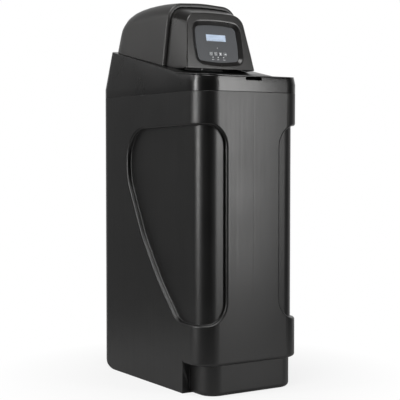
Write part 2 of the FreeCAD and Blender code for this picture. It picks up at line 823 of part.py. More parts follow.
def dome_solid(name, inset, edge=None):
    """The dome as a skin over its stations, with a rounded front rim where an edge is given."""
    body = new_body(name)
    reach = (back - seam) / DOME_STATIONS[0]
    stations = [(seam + inset, 306, inset)]
    if edge is not None:
        stations = [(seam + edge * (1 - math.cos(math.radians(turn))), 306,
                     edge * (1 - math.sin(math.radians(turn)))) for turn in (0, 30, 60, 90)]
    for ahead in DOME_STATIONS[1:]:
        shift = inset * (1 - ahead / DOME_STATIONS[0])
        stations.append((back - reach * ahead - shift, ahead, inset))
    sections = []
    for number, (at, ahead, less) in enumerate(stations):
        at_base, at_shoulder, shoulder, top, radius = dome_row(ahead)
        made = new_sketch(body, f"{name}Section{number}", "XZ_Plane", -at)
        sections.append(arch(made, hood_base - 5 - inset, side - at_base - less, rim + shoulder - less,
                             side - at_shoulder - less, rim + top - less, radius - less, 500))
    loft(body, sections, True)
    return body


dome_outer = dome_solid("DomeOuter", as_size(0), S.dome_edge_radius)
dome_mouth = new_body("DomeMouth")
mouth_sketch = new_sketch(dome_mouth, "DomeMouthOutline", "XZ_Plane", -seam - 6)
mouth_half = side - 63 + S.seat_gap
pad(dome_mouth, arch(mouth_sketch, hood_base, side - 39.5 + S.seat_gap, rim + 240 + S.seat_gap, mouth_half,
                     rim + 246 + S.seat_gap, 40 + S.seat_gap, mouth_half * mouth_half / 12), 16)
# the drain hose leaves through an arched notch at the dome's rear edge
hose_notch = prism("HoseNotch", "XZ_Plane", box_corners(-78, rim + 100, -50, rim + 148), [0, 0, 12, 12],
                   -back - 10, 60)
dome = combine("Cut", "Dome", dome_outer, dome_solid("DomeInner", S.hood_wall), dome_mouth, hood_floor,
               hose_notch)
node(dome, "hood_dome")

# Control panel and its box, drawn flat in the bezel's plane, with depths going down
panel_depth = S.funnel_depth + S.panel_gap
panel_back = panel_depth + S.panel_thickness
display_half = S.display_width / 2
display_low = S.display_centre - S.display_height / 2
display_high = S.display_centre + S.display_height / 2
key_hole = S.key_size / 2 + S.key_gap
control_face = new_body("ControlFace")
pad(control_face, outline(new_sketch(control_face, "FaceOutline", offset=-panel_back),
                          *window(S.panel_inset)), S.panel_thickness)
pocket(control_face, outline(new_sketch(control_face, "FaceDisplay", offset=-panel_back), box_corners(
    -display_half, display_low, display_half, display_high), 1), S.panel_thickness, True)
key_places = [(S.key_pitch * step, S.key_centre) for step in (-1.5, -0.5, 0.5, 1.5)]
for number, (x, y) in enumerate(key_places, start=1):
    hole = outline(new_sketch(control_face, f"FaceKey{number}", offset=-panel_back),
                   box_corners(x - key_hole, y - key_hole, x + key_hole, y + key_hole), 1.4)
    pocket(control_face, hole, S.panel_thickness, True)
node(lean(control_face), "control_face")

for number, (x, y) in enumerate(key_places, start=1):
    key = new_body(f"Key{number}")
    half = S.key_size / 2
    pad(key, outline(new_sketch(key, f"Key{number}Cap", offset=-panel_back - 1.2),
                     box_corners(x - half, y - half, x + half, y + half), 1.2),
        S.panel_thickness + 1.2 + 0.8)
    pad(key, outline(new_sketch(key, f"Key{number}Flange", offset=-panel_back - 1.3),
                     box_corners(x - half - 1.2, y - half - 1.2, x + half + 1.2, y + half + 1.2), 1), 1)
    pad(key, circles(new_sketch(key, f"Key{number}Stem", offset=-S.board_depth + 1.4), [(x, y)], 2),
        S.board_depth - 1.4 - panel_back - 1)
    node(lean(key), f"key_{number}")

box_half = side - S.opening_inset - 15
box_corners_flat = box_corners(-box_half, 23, box_half, 129)
wall = S.box_wall
control_box = new_body("ControlBox")
pad(control_box, outline(new_sketch(control_box, "BoxOutline", offset=-panel_back - S.box_depth),
                         box_corners_flat, 16), S.box_depth)
pocket(control_box, outline(new_sketch(control_box, "BoxRoom", offset=-panel_back), box_corners(
    wall - box_half, 23 + wall, box_half - wall, 129 - wall), 13.5), S.box_depth - wall)
post_x = box_half - 13
board_places = [(-post_x, 36), (post_x, 36), (post_x, 116), (-post_x, 116)]
board_back = S.board_depth + S.board_thickness
pad(control_box, circles(new_sketch(control_box, "BoxPosts", offset=wall - panel_back - S.box_depth),
                         board_places, 3.5), panel_back + S.box_depth - wall - board_back)
node(lean(control_box), "control_box")

circuit_board = new_body("CircuitBoard")
pad(circuit_board, outline(new_sketch(circuit_board, "BoardOutline", offset=-board_back),
                           box_corners(5 - box_half, 28, box_half - 5, 124), 8), S.board_thickness)
for number, (x, y) in enumerate(key_places, start=1):
    pad(circuit_board, outline(new_sketch(circuit_board, f"Switch{number}", offset=-S.board_depth),
                               box_corners(x - 3, y - 3, x + 3, y + 3)), 0.5)
node(lean(circuit_board), "circuit_board")
display = prism("Display", "XY_Plane", box_corners(-display_half - 2, display_low - 2, display_half + 2,
                                                   display_high + 2), 1, -S.board_depth,
                S.board_depth - panel_back)
node(lean(display), "lcd_display")
window_gap = 0.2
lcd_window = prism("LcdWindow", "XY_Plane", box_corners(
    window_gap - display_half, display_low + window_gap, display_half - window_gap,
    display_high - window_gap), 0.8, -panel_back, S.panel_thickness - 0.3)
node(lean(lcd_window), "lcd_window")

# Resin tank on its ring, with the resin, the riser and its strainer
tank_y = front + S.tank_from_front
neck_top = rim + S.neck_above_rim
tank_shoulder = rim - 56
radius, shell = S.tank_radius, S.tank_wall
low = S.tank_bottom


def tank_profile(inset, shrink):
    corners = [(0, low + inset), (radius - inset, low + inset), (radius - inset, tank_shoulder - inset / 2),
               (S.neck_radius - shrink, tank_shoulder + 28 - inset / 2), (S.neck_radius - shrink, neck_top)]
    return corners, [0, 76 - inset, 60 - inset, 6, 0]


outer_corners, outer_radii = tank_profile(as_size(0), as_size(0))
inner_corners, inner_radii = tank_profile(shell, as_size(5))
resin_tank = place(turned("ResinTank", outer_corners + inner_corners[::-1],
                          outer_radii + inner_radii[::-1]), 0, tank_y, 0)
node(resin_tank, "resin_tank")
tank_solid = place(turned("TankSolid", outer_corners + [(0, neck_top)], outer_radii + [0]), 0, tank_y, 0)
ring = place(turned("TankRing", [(70, S.cabinet_wall), (radius - 1, S.cabinet_wall),
                                 (radius - 1, low + 50), (70, low + 50)]), 0, tank_y, 0)
node(combine("Cut", "TankBase", ring, tank_solid), "tank_base")
bed_radius = radius - shell - S.seat_gap
bed_low = low + shell + S.seat_gap
bed_bore = S.riser_radius + S.seat_gap
resin_bed = turned("ResinBed", [(28, bed_low), (bed_radius, bed_low), (bed_radius, S.resin_height),
                                (bed_bore, S.resin_height), (bed_bore, bed_low + 50), (28, bed_low + 50)],
                   [0, 73, 0, 0, 0, 0])
node(place(resin_bed, 0, tank_y, 0), "resin_bed")
strainer = turned("Strainer", [(S.riser_radius, bed_low + 8), (25, bed_low), (25, bed_low + 4),
                               (18, bed_low + 48), (S.riser_radius, bed_low + 48)])
node(place(strainer, 0, tank_y, 0), "lower_basket")
riser_inner = S.riser_radius - S.riser_wall
riser = turned("Riser", [(riser_inner, bed_low + 10), (S.riser_radius, bed_low + 10),
                         (S.riser_radius, neck_top + 6), (riser_inner, neck_top + 6)])
node(place(riser, 0, tank_y, 0), "riser_tube")

# Control valve: collar over the neck, an upright throat, and a piston cylinder from front to back
valve_z = rim + S.valve_above_rim
valve_y = front + S.valve_front_from_front
port_z = rim + S.port_above_rim
port_x = S.port_spacing / 2
port_end = front + S.port_end_from_front
valve_end = valve_y + S.valve_length
drain_y = valve_y + 60
brine_y = valve_y + 34
injector_end = port_x + S.port_radius + 1
valve_solid = combine(
    "Fuse", "ValveSolid",
    rod("ValveCollar", 0, tank_y, neck_top - 12, S.neck_radius + 9, 34),
    rod("ValveThroat", 0, tank_y, neck_top + 10, 34, valve_z - neck_top - 10),
    rod("ValveCylinder", 0, valve_y + 2, valve_z, S.piston_bore + 8, S.valve_length - 2, "Y"),
    block("ValveFlange", -56, valve_y, valve_z - 61, 56, valve_y + 6, valve_z + 53),
    rod("PortLeft", -port_x, tank_y, port_z, S.port_radius, port_end - tank_y, "Y"),
    rod("PortRight", port_x, tank_y, port_z, S.port_radius, port_end - tank_y, "Y"),
    rod("PortJoin", -port_x, tank_y + 8, port_z, 18, S.port_spacing, "X"),
    rod("DrainPort", -54, drain_y, valve_z, 12, 54, "X"),
    rod("InjectorPort", 0, drain_y, valve_z, 15, injector_end, "X"),
    rod("BrinePort", 0, brine_y, valve_z - 12, 11, 66, "X"),
    rod("BrineSpigot", 57, brine_y, valve_z - 45, 8, 33))
piston_travel = 24
valve_body = combine(
    "Cut", "ValveBody", valve_solid,
    rod("NeckSeat", 0, tank_y, neck_top - 13, S.neck_radius + S.running_gap, 13),
    rod("RiserSeat", 0, tank_y, neck_top - 1, S.riser_radius + S.running_gap, 20),
    rod("PistonBore", 0, valve_y - 1, valve_z, S.piston_bore, S.valve_length - 11, "Y"),
    rod("BoreLeft", -port_x, tank_y + 12, port_z, S.port_bore, port_end - tank_y, "Y"),
    rod("BoreRight", port_x, tank_y + 12, port_z, S.port_bore, port_end - tank_y, "Y"),
    rod("BrineBore", 57, brine_y, valve_z - 46, S.tube_radius, 24))
node(valve_body, "valve_body")

# seals and spacers fill the bore in turn, and the piston slides through them
stack_start = valve_y + 8
stack_rings = []
for number in range(5):
    outer = rod(f"SealRing{number}", 0, stack_start + 18 * number, valve_z, S.piston_bore, 10, "Y")
    inner = rod(f"SealHole{number}", 0, stack_start + 18 * number - 1, valve_z, S.piston_seal_radius,
                12, "Y")
    stack_rings.append(combine("Cut", f"Seal{number}", outer, inner))
bars = [rod(f"SealBar{number}", x, stack_start + 1, valve_z + z, 2.4, 80, "Y")
        for number, (x, z) in enumerate(((19.3, 0), (-19.3, 0), (0, 19.3), (0, -19.3)))]
node(combine("Fuse", "SealStack", *stack_rings, *bars), "seal_stack")
piston_start = valve_y + 14
land = S.piston_seal_radius - S.running_gap
piston = turned("Piston", [(0, 0), (land, 0), (land, 22), (10, 26), (10, 32), (land, 36), (land, 66),
                           (0, 66)])
node(place(piston, 0, piston_start + 66, valve_z, (1, 0, 0), 90), "valve_piston")
rod_start = valve_y - 27.5
piston_rod = combine("Fuse", "PistonRod", rod("RodShaft", 0, rod_start, valve_z, S.rod_radius,
                                              piston_start - rod_start, "Y"),
                     rod("RodCollar", 0, piston_start - 2, valve_z, 7, 2, "Y"))
node(piston_rod, "piston_rod")
cap_radius = 17
ring = cap_radius + 1
injector = combine("Cut", "Injector",
                   rod("InjectorOuter", injector_end, drain_y, valve_z, cap_radius, 12, "X"),
                   *[rod(f"InjectorGroove{n}", injector_end + 8, drain_y + ring * math.cos(math.pi / 4 * n),
                         valve_z + ring * math.sin(math.pi / 4 * n), 3, 6, "X") for n in range(8)])
node(injector, "injector_cap")
elbow_x = -66
drain_elbow = combine("Fuse", "DrainElbow", rod("ElbowSocket", elbow_x, drain_y, valve_z, 7.5, 12, "X"),
                      rod("ElbowTurn", elbow_x, drain_y - 9, valve_z, 9, 18, "Y"),
                      rod("ElbowBarb", elbow_x, drain_y + 9, valve_z, 6.4, 36, "Y"))
drain_elbow = combine("Cut", "DrainFitting", drain_elbow,
                      rod("ElbowBore", elbow_x, drain_y, valve_z, 4, 60, "Y"))
node(drain_elbow, "drain_elbow")

# the meter's turbine spins in the outlet port on a pin between two spiders
meter_y = port_end - 30
spiders = [block(f"Spider{n}", port_x - S.port_bore, meter_y + y, port_z - 1.5, port_x + S.port_bore,
                 meter_y + y + 2, port_z + 1.5) for n, y in enumerate((-7, 15))]
meter_axle = combine("Common", "MeterAxle", combine(
    "Fuse", "MeterFrame", rod("MeterPin", port_x, meter_y - 7, port_z, 1.2, 24, "Y"), *spiders),
    rod("MeterLimit", port_x, meter_y - 20, port_z, S.port_bore, 60, "Y"))
node(meter_axle, "meter_axle")
turbine = new_body("Turbine")
hub = new_sketch(turbine, "TurbineHub", "XZ_Plane")
pad(turbine, circles(hub, [(0, 0)], 3.5), 10)
vane = outline(new_sketch(turbine, "TurbineVane", "XZ_Plane"), box_corners(2, -0.7, S.port_bore - 0.8, 0.7))
vane_pad = pad(turbine, vane, 10)
vanes = turbine.newObject("PartDesign::PolarPattern", "TurbineVanes")
vanes.Originals = [vane_pad]
vanes.Axis = (hub, ["N_Axis"])
vanes.Occurrences = 6
vanes.Angle = 360
turbine.Tip = vanes
doc.recompute()
pocket(turbine, circles(new_sketch(turbine, "TurbineBore", "XZ_Plane"), [(0, 0)], 1.25), 10, True)
node(place(turbine, port_x, meter_y + 11, port_z), "meter_turbine")

# Bypass: two upright rotors in one body, turned by levers
bypass_end = port_end + S.bypass_length
rotor_y = port_end + 28
rotor_top = port_z + 30
rotor_radius = 13
bypass_solid = combine(
    "Fuse", "BypassSolid",
    rod("BypassLeft", -port_x, port_end, port_z, 20, S.bypass_length, "Y"),
    rod("BypassRight", port_x, port_end, port_z, 20, S.bypass_length, "Y"),
    rod("RotorHouseLeft", -port_x, rotor_y, port_z - 24, 18, 54),
    rod("RotorHouseRight", port_x, rotor_y, port_z - 24, 18, 54),
    rod("BypassBridge", -port_x, rotor_y, port_z, 12, S.port_spacing, "X"))
bypass_cuts = []
for hand, sign in (("Left", -1), ("Right", 1)):
    bypass_cuts.append(rod(f"BypassBore{hand}", port_x * sign, port_end - 1, port_z, 11,
                           S.bypass_length + 2, "Y"))
    bypass_cuts.append(rod(f"RotorBore{hand}", port_x * sign, rotor_y, port_z - 16, rotor_radius, 60))
node(combine("Cut", "BypassBody", bypass_solid, *bypass_cuts), "bypass_body")
for hand, sign, label in (("Left", -1, "bypass_handle_inlet"), ("Right", 1, "bypass_handle_outlet")):
    x = port_x * sign
    grip = combine("Fuse", f"Grip{hand}",
                   rod(f"Rotor{hand}", x, rotor_y, port_z - 15.7, rotor_radius - S.running_gap, 46.1),
                   rod(f"GripDisc{hand}", x, rotor_y, rotor_top + 0.4, S.handle_radius, 6),
                   prism(f"GripLever{hand}", "XY_Plane", box_corners(x - 4.5, rotor_y - 27, x + 4.5,
                                                                      rotor_y + 27), 4.4,
                         rotor_top + 6, 9))
    node(combine("Cut", f"Handle{hand}", grip, rod(f"RotorPass{hand}", x, rotor_y - 20, port_z, 9, 40, "Y")),
         label)
clips = []
for hand, sign in (("Left", -1), ("Right", 1)):
    x = port_x * sign
    clip_gap = block(f"ClipGap{hand}", x - 6, port_end - 6, port_z - 30, x + 6, port_end + 6, port_z)
    clips.append(combine("Cut", f"Clip{hand}", rod(f"ClipRing{hand}", x, port_end - 5, port_z, 24, 10, "Y"),
                         rod(f"ClipHole{hand}", x, port_end - 6, port_z, S.port_radius, 12, "Y"), clip_gap))
node(combine("Fuse", "Clips", *clips), "port_clips")
nuts = []
for hand, sign, label in (("Left", -1, "inlet_tail"), ("Right", 1, "outlet_tail")):
    x = port_x * sign
    tail = combine("Fuse", f"Tail{hand}Solid",
                   rod(f"TailPipe{hand}", x, bypass_end, port_z, S.pipe_radius, S.pipe_length, "Y"),
                   rod(f"TailFlange{hand}", x, bypass_end, port_z, S.pipe_radius + 2.5, 4, "Y"))
    node(combine("Cut", f"Tail{hand}", tail, rod(f"TailBore{hand}", x, bypass_end - 1, port_z, S.pipe_bore,
                                                 S.pipe_length + 2, "Y")), label)
    ring = rod(f"NutOuter{hand}", x, bypass_end - 8.5, port_z, S.nut_radius, 22.5, "Y")
    seat = rod(f"NutSeat{hand}", x, bypass_end - 11, port_z, 20, 15.3, "Y")
    mouth = rod(f"NutMouth{hand}", x, bypass_end, port_z, S.pipe_radius + 1, 30, "Y")
    grooves = [rod(f"NutGroove{hand}{n}", x + (S.nut_radius + 1) * math.cos(math.radians(30 * n)),
                   bypass_end - 11, port_z + (S.nut_radius + 1) * math.sin(math.radians(30 * n)), 3, 26, "Y")
               for n in range(12)]
    nuts.append(combine("Cut", f"Nut{hand}", ring, seat, mouth, *grooves))
node(combine("Fuse", "Nuts", *nuts), "coupling_nuts")


# Gear train: the motor turns a two-step gear, and that turns the main gear on the piston rod
def gear_outline(teeth, module, phase, slack=0.12, pressure=25):
    """Corners of an involute gear, its first tooth at the phase angle, in radians."""
    pitch = module * teeth / 2
    base = pitch * math.cos(math.radians(pressure))
    tip, root = pitch + 0.9 * module, pitch - 1.2 * module

    def flank(at):
        return math.sqrt(max(at * at / (base * base) - 1, 0)) - math.acos(min(base / at, 1))

    half = math.pi / (2 * teeth) + flank(pitch) - slack / pitch
    start = max(root, base)
    steps = [start + (tip - start) * k / 3 for k in range(4)]
    corners = []
    for number in range(teeth):
        middle = phase + 2 * math.pi * number / teeth
        rising = [(root, -half)] if root < base else []
        rising += [(at, -half + flank(at)) for at in steps]
        falling = [(at, -turn) for at, turn in rising[::-1]]
        corners += [Vector(at * math.cos(middle + turn), 0, at * math.sin(middle + turn))
                    for at, turn in rising + falling]
    return corners


def gear_solid(teeth, module, phase, width):
    """A gear that starts at the origin and runs along +Y."""
    corners = gear_outline(teeth, module, phase)
    face = Part.Face(Part.makePolygon(corners + corners[:1]))
    return face.extrude(Vector(0, width, 0))


def gear_node(name, label, shape, x, y, z):
    made = doc.addObject("Part::Feature", name)
    made.Shape = shape
    place(made, x, y, z)
    return node(made, label)


def round_bar(radius, start, length):
    return Part.makeCylinder(radius, length, Vector(0, start, 0), Vector(0, 1, 0))


module, first_module = S.gear_module.number, S.first_module.number
main_teeth, pinion_teeth, first_teeth = (int(S.main_teeth.number), int(S.pinion_teeth.number),
                                         int(S.first_teeth.number))
width, first_width = S.gear_width.number, S.first_width.number
main_angle, motor_angle = -45, 60
near_gap = S.gear_module * (S.main_teeth + S.pinion_teeth) / 2
first_gap = S.first_module * (S.first_teeth + S.pinion_teeth) / 2
step_x, step_z = near_gap * cosine(main_angle), valve_z + near_gap * sine(main_angle)
motor_x, motor_z = step_x + first_gap * cosine(motor_angle), step_z + first_gap * sine(motor_angle)
main_layer = -20
first_layer = main_layer + width + 1.5
main_phase = math.radians(main_angle)
back_phase = main_phase + math.pi + math.pi / pinion_teeth
main_shape = gear_solid(main_teeth, module, main_phase, width)
main_shape.translate(Vector(0, main_layer, 0))
main_shape = main_shape.fuse(round_bar(9, -27.7, 27.4))
main_shape = main_shape.cut(round_bar(S.rod_radius.number + 0.05, -30, 40)).removeSplitter()
gear_node("MainGear", "main_drive_gear", main_shape, 0, valve_y, valve_z)
small = gear_solid(pinion_teeth, module, back_phase, first_layer - main_layer)
small.translate(Vector(0, main_layer, 0))
large = gear_solid(first_teeth, first_module, math.radians(motor_angle), first_width)
large.translate(Vector(0, first_layer, 0))
step_shape = small.fuse([large, round_bar(4.5, -27.7, 27.4)])
step_shape = step_shape.cut(round_bar(2.05, -30, 40)).removeSplitter()
gear_node("StepGear", "reduction_gear", step_shape, step_x, valve_y, step_z)
pinion = gear_solid(pinion_teeth, first_module, math.radians(motor_angle) + math.pi
                    + math.pi / pinion_teeth, first_width)
pinion.translate(Vector(0, first_layer, 0))
pinion_shape = pinion.fuse([round_bar(4, -27.5, first_layer + 27.6), round_bar(1.5, -38, 20)])
gear_node("Pinion", "motor_pinion", pinion_shape.removeSplitter(), motor_x, valve_y, motor_z)
node(rod("StepAxle", step_x, valve_y - 31, step_z, 2, 31, "Y"), "reduction_axle")

plate_back = valve_y - 28
plate_front = valve_y - 31
post_places = [(-50, -45), (-50, 45), (46, 47), (-5, -55)]
plate = block("Plate", -62, plate_front, valve_z - 60, 66, plate_back, valve_z + 53)
posts = [rod(f"Post{n}", x, plate_back, valve_z + z, 4, 28, "Y") for n, (x, z) in enumerate(post_places)]
arms = [block(f"Arm{n}", x, plate_front - 40, valve_z + 30, x + 8, plate_front, valve_z + 41.5)
        for n, x in enumerate((-58, 20))]
box_solid = lean(prism("BoxSolid", "XY_Plane", box_corners_flat, 16, -panel_back - S.box_depth,
                       S.box_depth + 5))
bracket = combine("Cut", "Bracket", combine("Fuse", "BracketSolid", plate, *posts, *arms), box_solid,
                  rod("RodPass", 0, plate_front - 1, valve_z, S.rod_radius + 0.3, 5, "Y"),
                  rod("ShaftPass", motor_x, plate_front - 1, motor_z, 3, 5, "Y"),
                  rod("AxleSeat", step_x, plate_front - 1, step_z, 2, 5, "Y"))
node(bracket, "drive_bracket")
motor = combine("Cut", "Motor", combine(
    "Fuse", "MotorSolid", rod("MotorCan", motor_x, plate_front - S.motor_length, motor_z, S.motor_radius,
                              S.motor_length, "Y"),
    rod("MotorBoss", motor_x, plate_front - S.motor_length - 3, motor_z, 5, 4, "Y")),
    rod("MotorBore", motor_x, plate_front - 9, motor_z, 1.55, 12, "Y"))
node(motor, "drive_motor")
screws = [rod(f"Screw{n}", x, plate_front - 2.4, valve_z + z, 3.2, 2.4, "Y")
          for n, (x, z) in enumerate(post_places)]
node(combine("Fuse", "Screws", *screws), "bracket_screws")
socket_x = 22 - box_half
socket = combine("Cut", "Socket", block("SocketBody", socket_x - 7, 74, -7, socket_x + 7, 86, 0),
                 rod("SocketBore", socket_x, 80, -8, 2.8, 7))
node(place(socket, 0, foot_line + (panel_back + S.box_depth) * cosine(S.bezel_lean),
           foot_height - (panel_back + S.box_depth) * sine(S.bezel_lean), (1, 0, 0),
           90 - S.bezel_lean), "power_inlet")

# Brine side: a well with its float valve, the salt grid, and the line up to the control valve
well_x = side - S.well_from_side
well_reach = S.tank_radius + S.well_radius + S.well_tank_gap
well_y = tank_y - root(well_reach * well_reach - well_x * well_x)
well_top = rim - S.well_below_rim
floor = S.cabinet_wall
well_inner = S.well_radius - S.well_wall
valve_low = well_top - 58
valve_high = well_top - 20
line_z = well_top - 34
well_tube = combine("Cut", "WellTube",
                    rod("WellOuter", well_x, well_y, floor, S.well_radius, well_top - floor),
                    rod("WellRoom", well_x, well_y, floor - 1, well_inner, well_top),
                    block("WellSlotAcross", well_x - 50, well_y - 6, floor - 1, well_x + 50, well_y + 6, 40),
                    block("WellSlotAlong", well_x - 6, well_y - 50, floor - 1, well_x + 6, well_y + 50, 40),
                    rod("WellLineHole", well_x - 50, well_y, line_z, 7.2, 40, "X"))
node(well_tube, "brine_well")
cap = turned("WellCap", [(0, 0.3), (well_inner - 3, 0.3), (well_inner - 3, -8), (well_inner - 0.5, -8),
                         (well_inner - 0.5, 0.3), (S.well_radius + 1.5, 0.3), (S.well_radius + 1.5, 3.5),
                         (8, 3.5), (8, 12), (0, 12)])
node(place(cap, well_x, well_y, well_top), "brine_well_cap")
float_x = well_x + 8
pickup_x = well_x - 24
stem_gap = 0.05
safety = combine("Cut", "SafetyValve", combine(
    "Fuse", "SafetySolid",
    prism("SafetyHouse", "XY_Plane", box_corners(well_x - 33, well_y - 12, well_x + 24, well_y + 12), 8,
          valve_low, valve_high - valve_low),
    rod("SafetyElbow", well_x - 58, well_y, line_z, 7, 30, "X"),
    block("SafetyArm", well_x + 20, well_y - 4, valve_high - 8, well_x + 36.9, well_y + 4, valve_high)),
    rod("SafetyStem", float_x, well_y, valve_low - 1, 2 + stem_gap, 40),
    rod("SafetyBore", well_x - 59, well_y, line_z, S.tube_radius, 8, "X"),
    rod("PickupSeat", pickup_x, well_y, valve_low - 1, S.tube_radius, 7))
node(safety, "float_valve")
float_low = 400
stem = rod("FloatStem", float_x, well_y, 250, 2, valve_low + 8 - 250)
stop = rod("FloatStop", float_x, well_y, 250, 5, 4)
float_tube = turned("Float", [(2, 0), (S.float_radius, 0), (S.float_radius, 66), (2, 66)], [0, 6, 6, 0])
node(place(float_tube, float_x, well_y, float_low), "float_ball")
node(combine("Fuse", "FloatRod", stem, stop), "float_rod")
check_top = 92
air_check = turned("AirCheck", [(0, 0), (11, 0), (11, 70), (7, 80), (0, 80)], [0, 1.5, 2, 2, 0])
air_check = place(air_check, pickup_x, well_y, check_top - 80)
node(air_check, "air_check")
pickup = rod("PickupTube", pickup_x, well_y, check_top, S.tube_radius, valve_low + 6 - check_top)
node(combine("Cut", "Pickup", pickup, rod("PickupBore", pickup_x, well_y, check_top - 1, S.tube_bore,
                                          valve_low + 10 - check_top)), "pickup_tube")


def bent_tube(name, points, radius, bore):
    """A round tube along straight runs that meet in tangent arcs."""
    runs = [points[k + 1] - points[k] for k in range(len(points) - 1)]
    edges = []
    last = points[0]
    for k in range(1, len(points) - 1):
        before, after = runs[k - 1], runs[k]
        half = before.getAngle(after) / 2
        trim = 0.45 * min(before.Length, after.Length)
        bend = trim / math.tan(half)
        enter = points[k] - before.normalize() * trim
        leave = points[k] + after.normalize() * trim
        runs[k - 1], runs[k] = points[k] - points[k - 1], points[k + 1] - points[k]
        inward = (enter + leave) / 2 - points[k]
        middle = points[k] + inward.normalize() * (bend / math.cos(half) - bend)
        edges.append(Part.LineSegment(last, enter).toShape())
        edges.append(Part.Arc(enter, middle, leave).toShape())
        print(f"{name} bend {bend:.1f}")
        last = leave
    edges.append(Part.LineSegment(last, points[-1]).toShape())
    path = Part.Wire(edges)
    start = points[1] - points[0]
    rings = [Part.Wire(Part.makeCircle(size, points[0], start)) for size in (radius, bore)]
    solids = [path.makePipeShell([ring], True, False) for ring in rings]
    print(f"{name} volume {solids[0].Volume:.0f} against {math.pi * radius ** 2 * path.Length:.0f}")
    return solids[0].cut(solids[1])


line_points = [(well_x - 58, well_y, line_z), (well_x - 90, well_y, line_z),
               (well_x - 82, well_y + 24, line_z + 44), (57, brine_y - 30, valve_z - 112),
               (57, brine_y - 2, valve_z - 85), (57, brine_y, valve_z - 45)]
brine_line = doc.addObject("Part::Feature", "BrineLine")
brine_line.Shape = bent_tube("brine line", [Vector(*[as_size(v).number for v in point])
                                            for point in line_points],
                             S.tube_radius.number, S.tube_bore.number)
node(brine_line, "brine_line")

grid_top = S.grid_height + S.grid_thickness
grid_plate = prism("GridPlate", "XY_Plane", *plan(S.cabinet_wall + 2), S.grid_height, S.grid_thickness)
grid_holes = [rod("GridTank", 0, tank_y, S.grid_height - 1, radius + 2, 20),
              rod("GridWell", well_x, well_y, S.grid_height - 1, S.well_radius + 1, 20)]
for row in range(5):
    for column in range(7):
        x = (column - 3) * 36
        y = front + 36 + row * 30
        if row == 4 and column > 4:
            continue
        grid_holes.append(block(f"GridSlot{row}{column}", x - 12, y - 5, S.grid_height - 1, x + 12, y + 5,
                                grid_top + 1))
plinth_floor = S.plinth_height + S.cabinet_wall
grid_legs = [rod(f"GridFrontLeg{n}", x, front + 51, plinth_floor, 8, S.grid_height - plinth_floor)
             for n, x in enumerate((75 - side, side - 75))]
rear_leg_y = back - S.rear_bottom_radius - 12
leg_places = [(30 - side, -60), (side - 27, 10), (40 - side, rear_leg_y), (side - 40, rear_leg_y)]
grid_legs += [rod(f"GridLeg{n}", x, y, floor, 8, S.grid_height - floor)
              for n, (x, y) in enumerate(leg_places)]
grid = combine("Fuse", "Grid", combine("Cut", "GridOpen", grid_plate, *grid_holes), *grid_legs)
node(grid, "salt_grid")

overflow = combine("Cut", "Overflow", combine(
    "Fuse", "OverflowSolid",
    rod("OverflowFlange", overflow_x, back, overflow_z, 16, 3, "Y"),
    rod("OverflowNeck", overflow_x, back - 16, overflow_z, overflow_neck, 30, "Y"),
    rod("OverflowTurn", overflow_x, back + 13, overflow_z - 12, 9, 21),
    rod("OverflowBarb", overflow_x, back + 13, overflow_z - 34, 6.5, 30)),
    rod("OverflowBore", overflow_x, back - 17, overflow_z, 5, 28, "Y"),
    rod("OverflowDrop", overflow_x, back + 13, overflow_z - 35, 4, 35))
node(overflow, "overflow_elbow")
overflow_nut = combine("Cut", "OverflowNut",
                       rod("OverflowNutRing", overflow_x, back - S.cabinet_wall - 7, overflow_z, 16, 7, "Y"),
                       rod("OverflowNutHole", overflow_x, back - 20, overflow_z, overflow_neck, 20, "Y"))
node(overflow_nut, "overflow_nut")

for thing in doc.Objects:
    if "Invalid" in thing.State or "Error" in thing.State:
        raise ValueError(f"{thing.Name} did not build: {thing.State}")
os.makedirs("parts", exist_ok=True)
for thing in nodes:
    if thing.Shape.isNull() or not thing.Shape.isValid():
        raise ValueError(f"{thing.Label} has no sound shape")
    thing.Shape.exportStep(f"parts/{thing.Label}.step")
print(len(nodes), "sub-parts")
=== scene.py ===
import math

import bmesh
import bpy
from mathutils import Matrix, Vector


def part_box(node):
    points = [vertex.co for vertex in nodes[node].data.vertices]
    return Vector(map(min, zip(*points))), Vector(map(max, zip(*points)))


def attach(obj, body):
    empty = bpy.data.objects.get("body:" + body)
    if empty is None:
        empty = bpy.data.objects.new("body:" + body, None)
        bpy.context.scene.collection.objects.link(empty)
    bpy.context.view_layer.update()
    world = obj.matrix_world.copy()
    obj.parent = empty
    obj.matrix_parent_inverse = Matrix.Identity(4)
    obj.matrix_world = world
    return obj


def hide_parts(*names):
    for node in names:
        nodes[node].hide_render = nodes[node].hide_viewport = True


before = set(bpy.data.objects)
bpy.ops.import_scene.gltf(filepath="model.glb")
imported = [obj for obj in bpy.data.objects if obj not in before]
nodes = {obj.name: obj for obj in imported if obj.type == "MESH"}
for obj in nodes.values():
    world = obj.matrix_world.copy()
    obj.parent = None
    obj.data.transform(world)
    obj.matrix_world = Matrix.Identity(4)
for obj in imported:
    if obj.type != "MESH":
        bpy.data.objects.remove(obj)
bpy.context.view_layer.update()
scene = bpy.context.scene
scene.view_settings.view_transform = "Standard"


# The camera stands to the left of the front, level with the middle of the cabinet, with a long lens.
# Its place and direction were fitted to the cabinet's corners.
def linked(name, data):
    """A scene object that shows the data."""
    made = bpy.data.objects.new(name, data)
    scene.collection.objects.link(made)
    return made


def turned(thing, direction):
    """Turns a camera or a lamp to face a direction."""
    thing.rotation_mode = "QUATERNION"
    thing.rotation_quaternion = direction.to_track_quat("-Z", "Y")


camera = linked("camera", bpy.data.cameras.new("camera"))
camera.data.sensor_width = 36
camera.data.lens = 99.0
camera.data.clip_end = 60
camera.location = (-1.68826, -2.63188, 0.64229)
turned(camera, Vector((0.54136555, 0.83958428, -0.04496197)))
scene.camera = camera


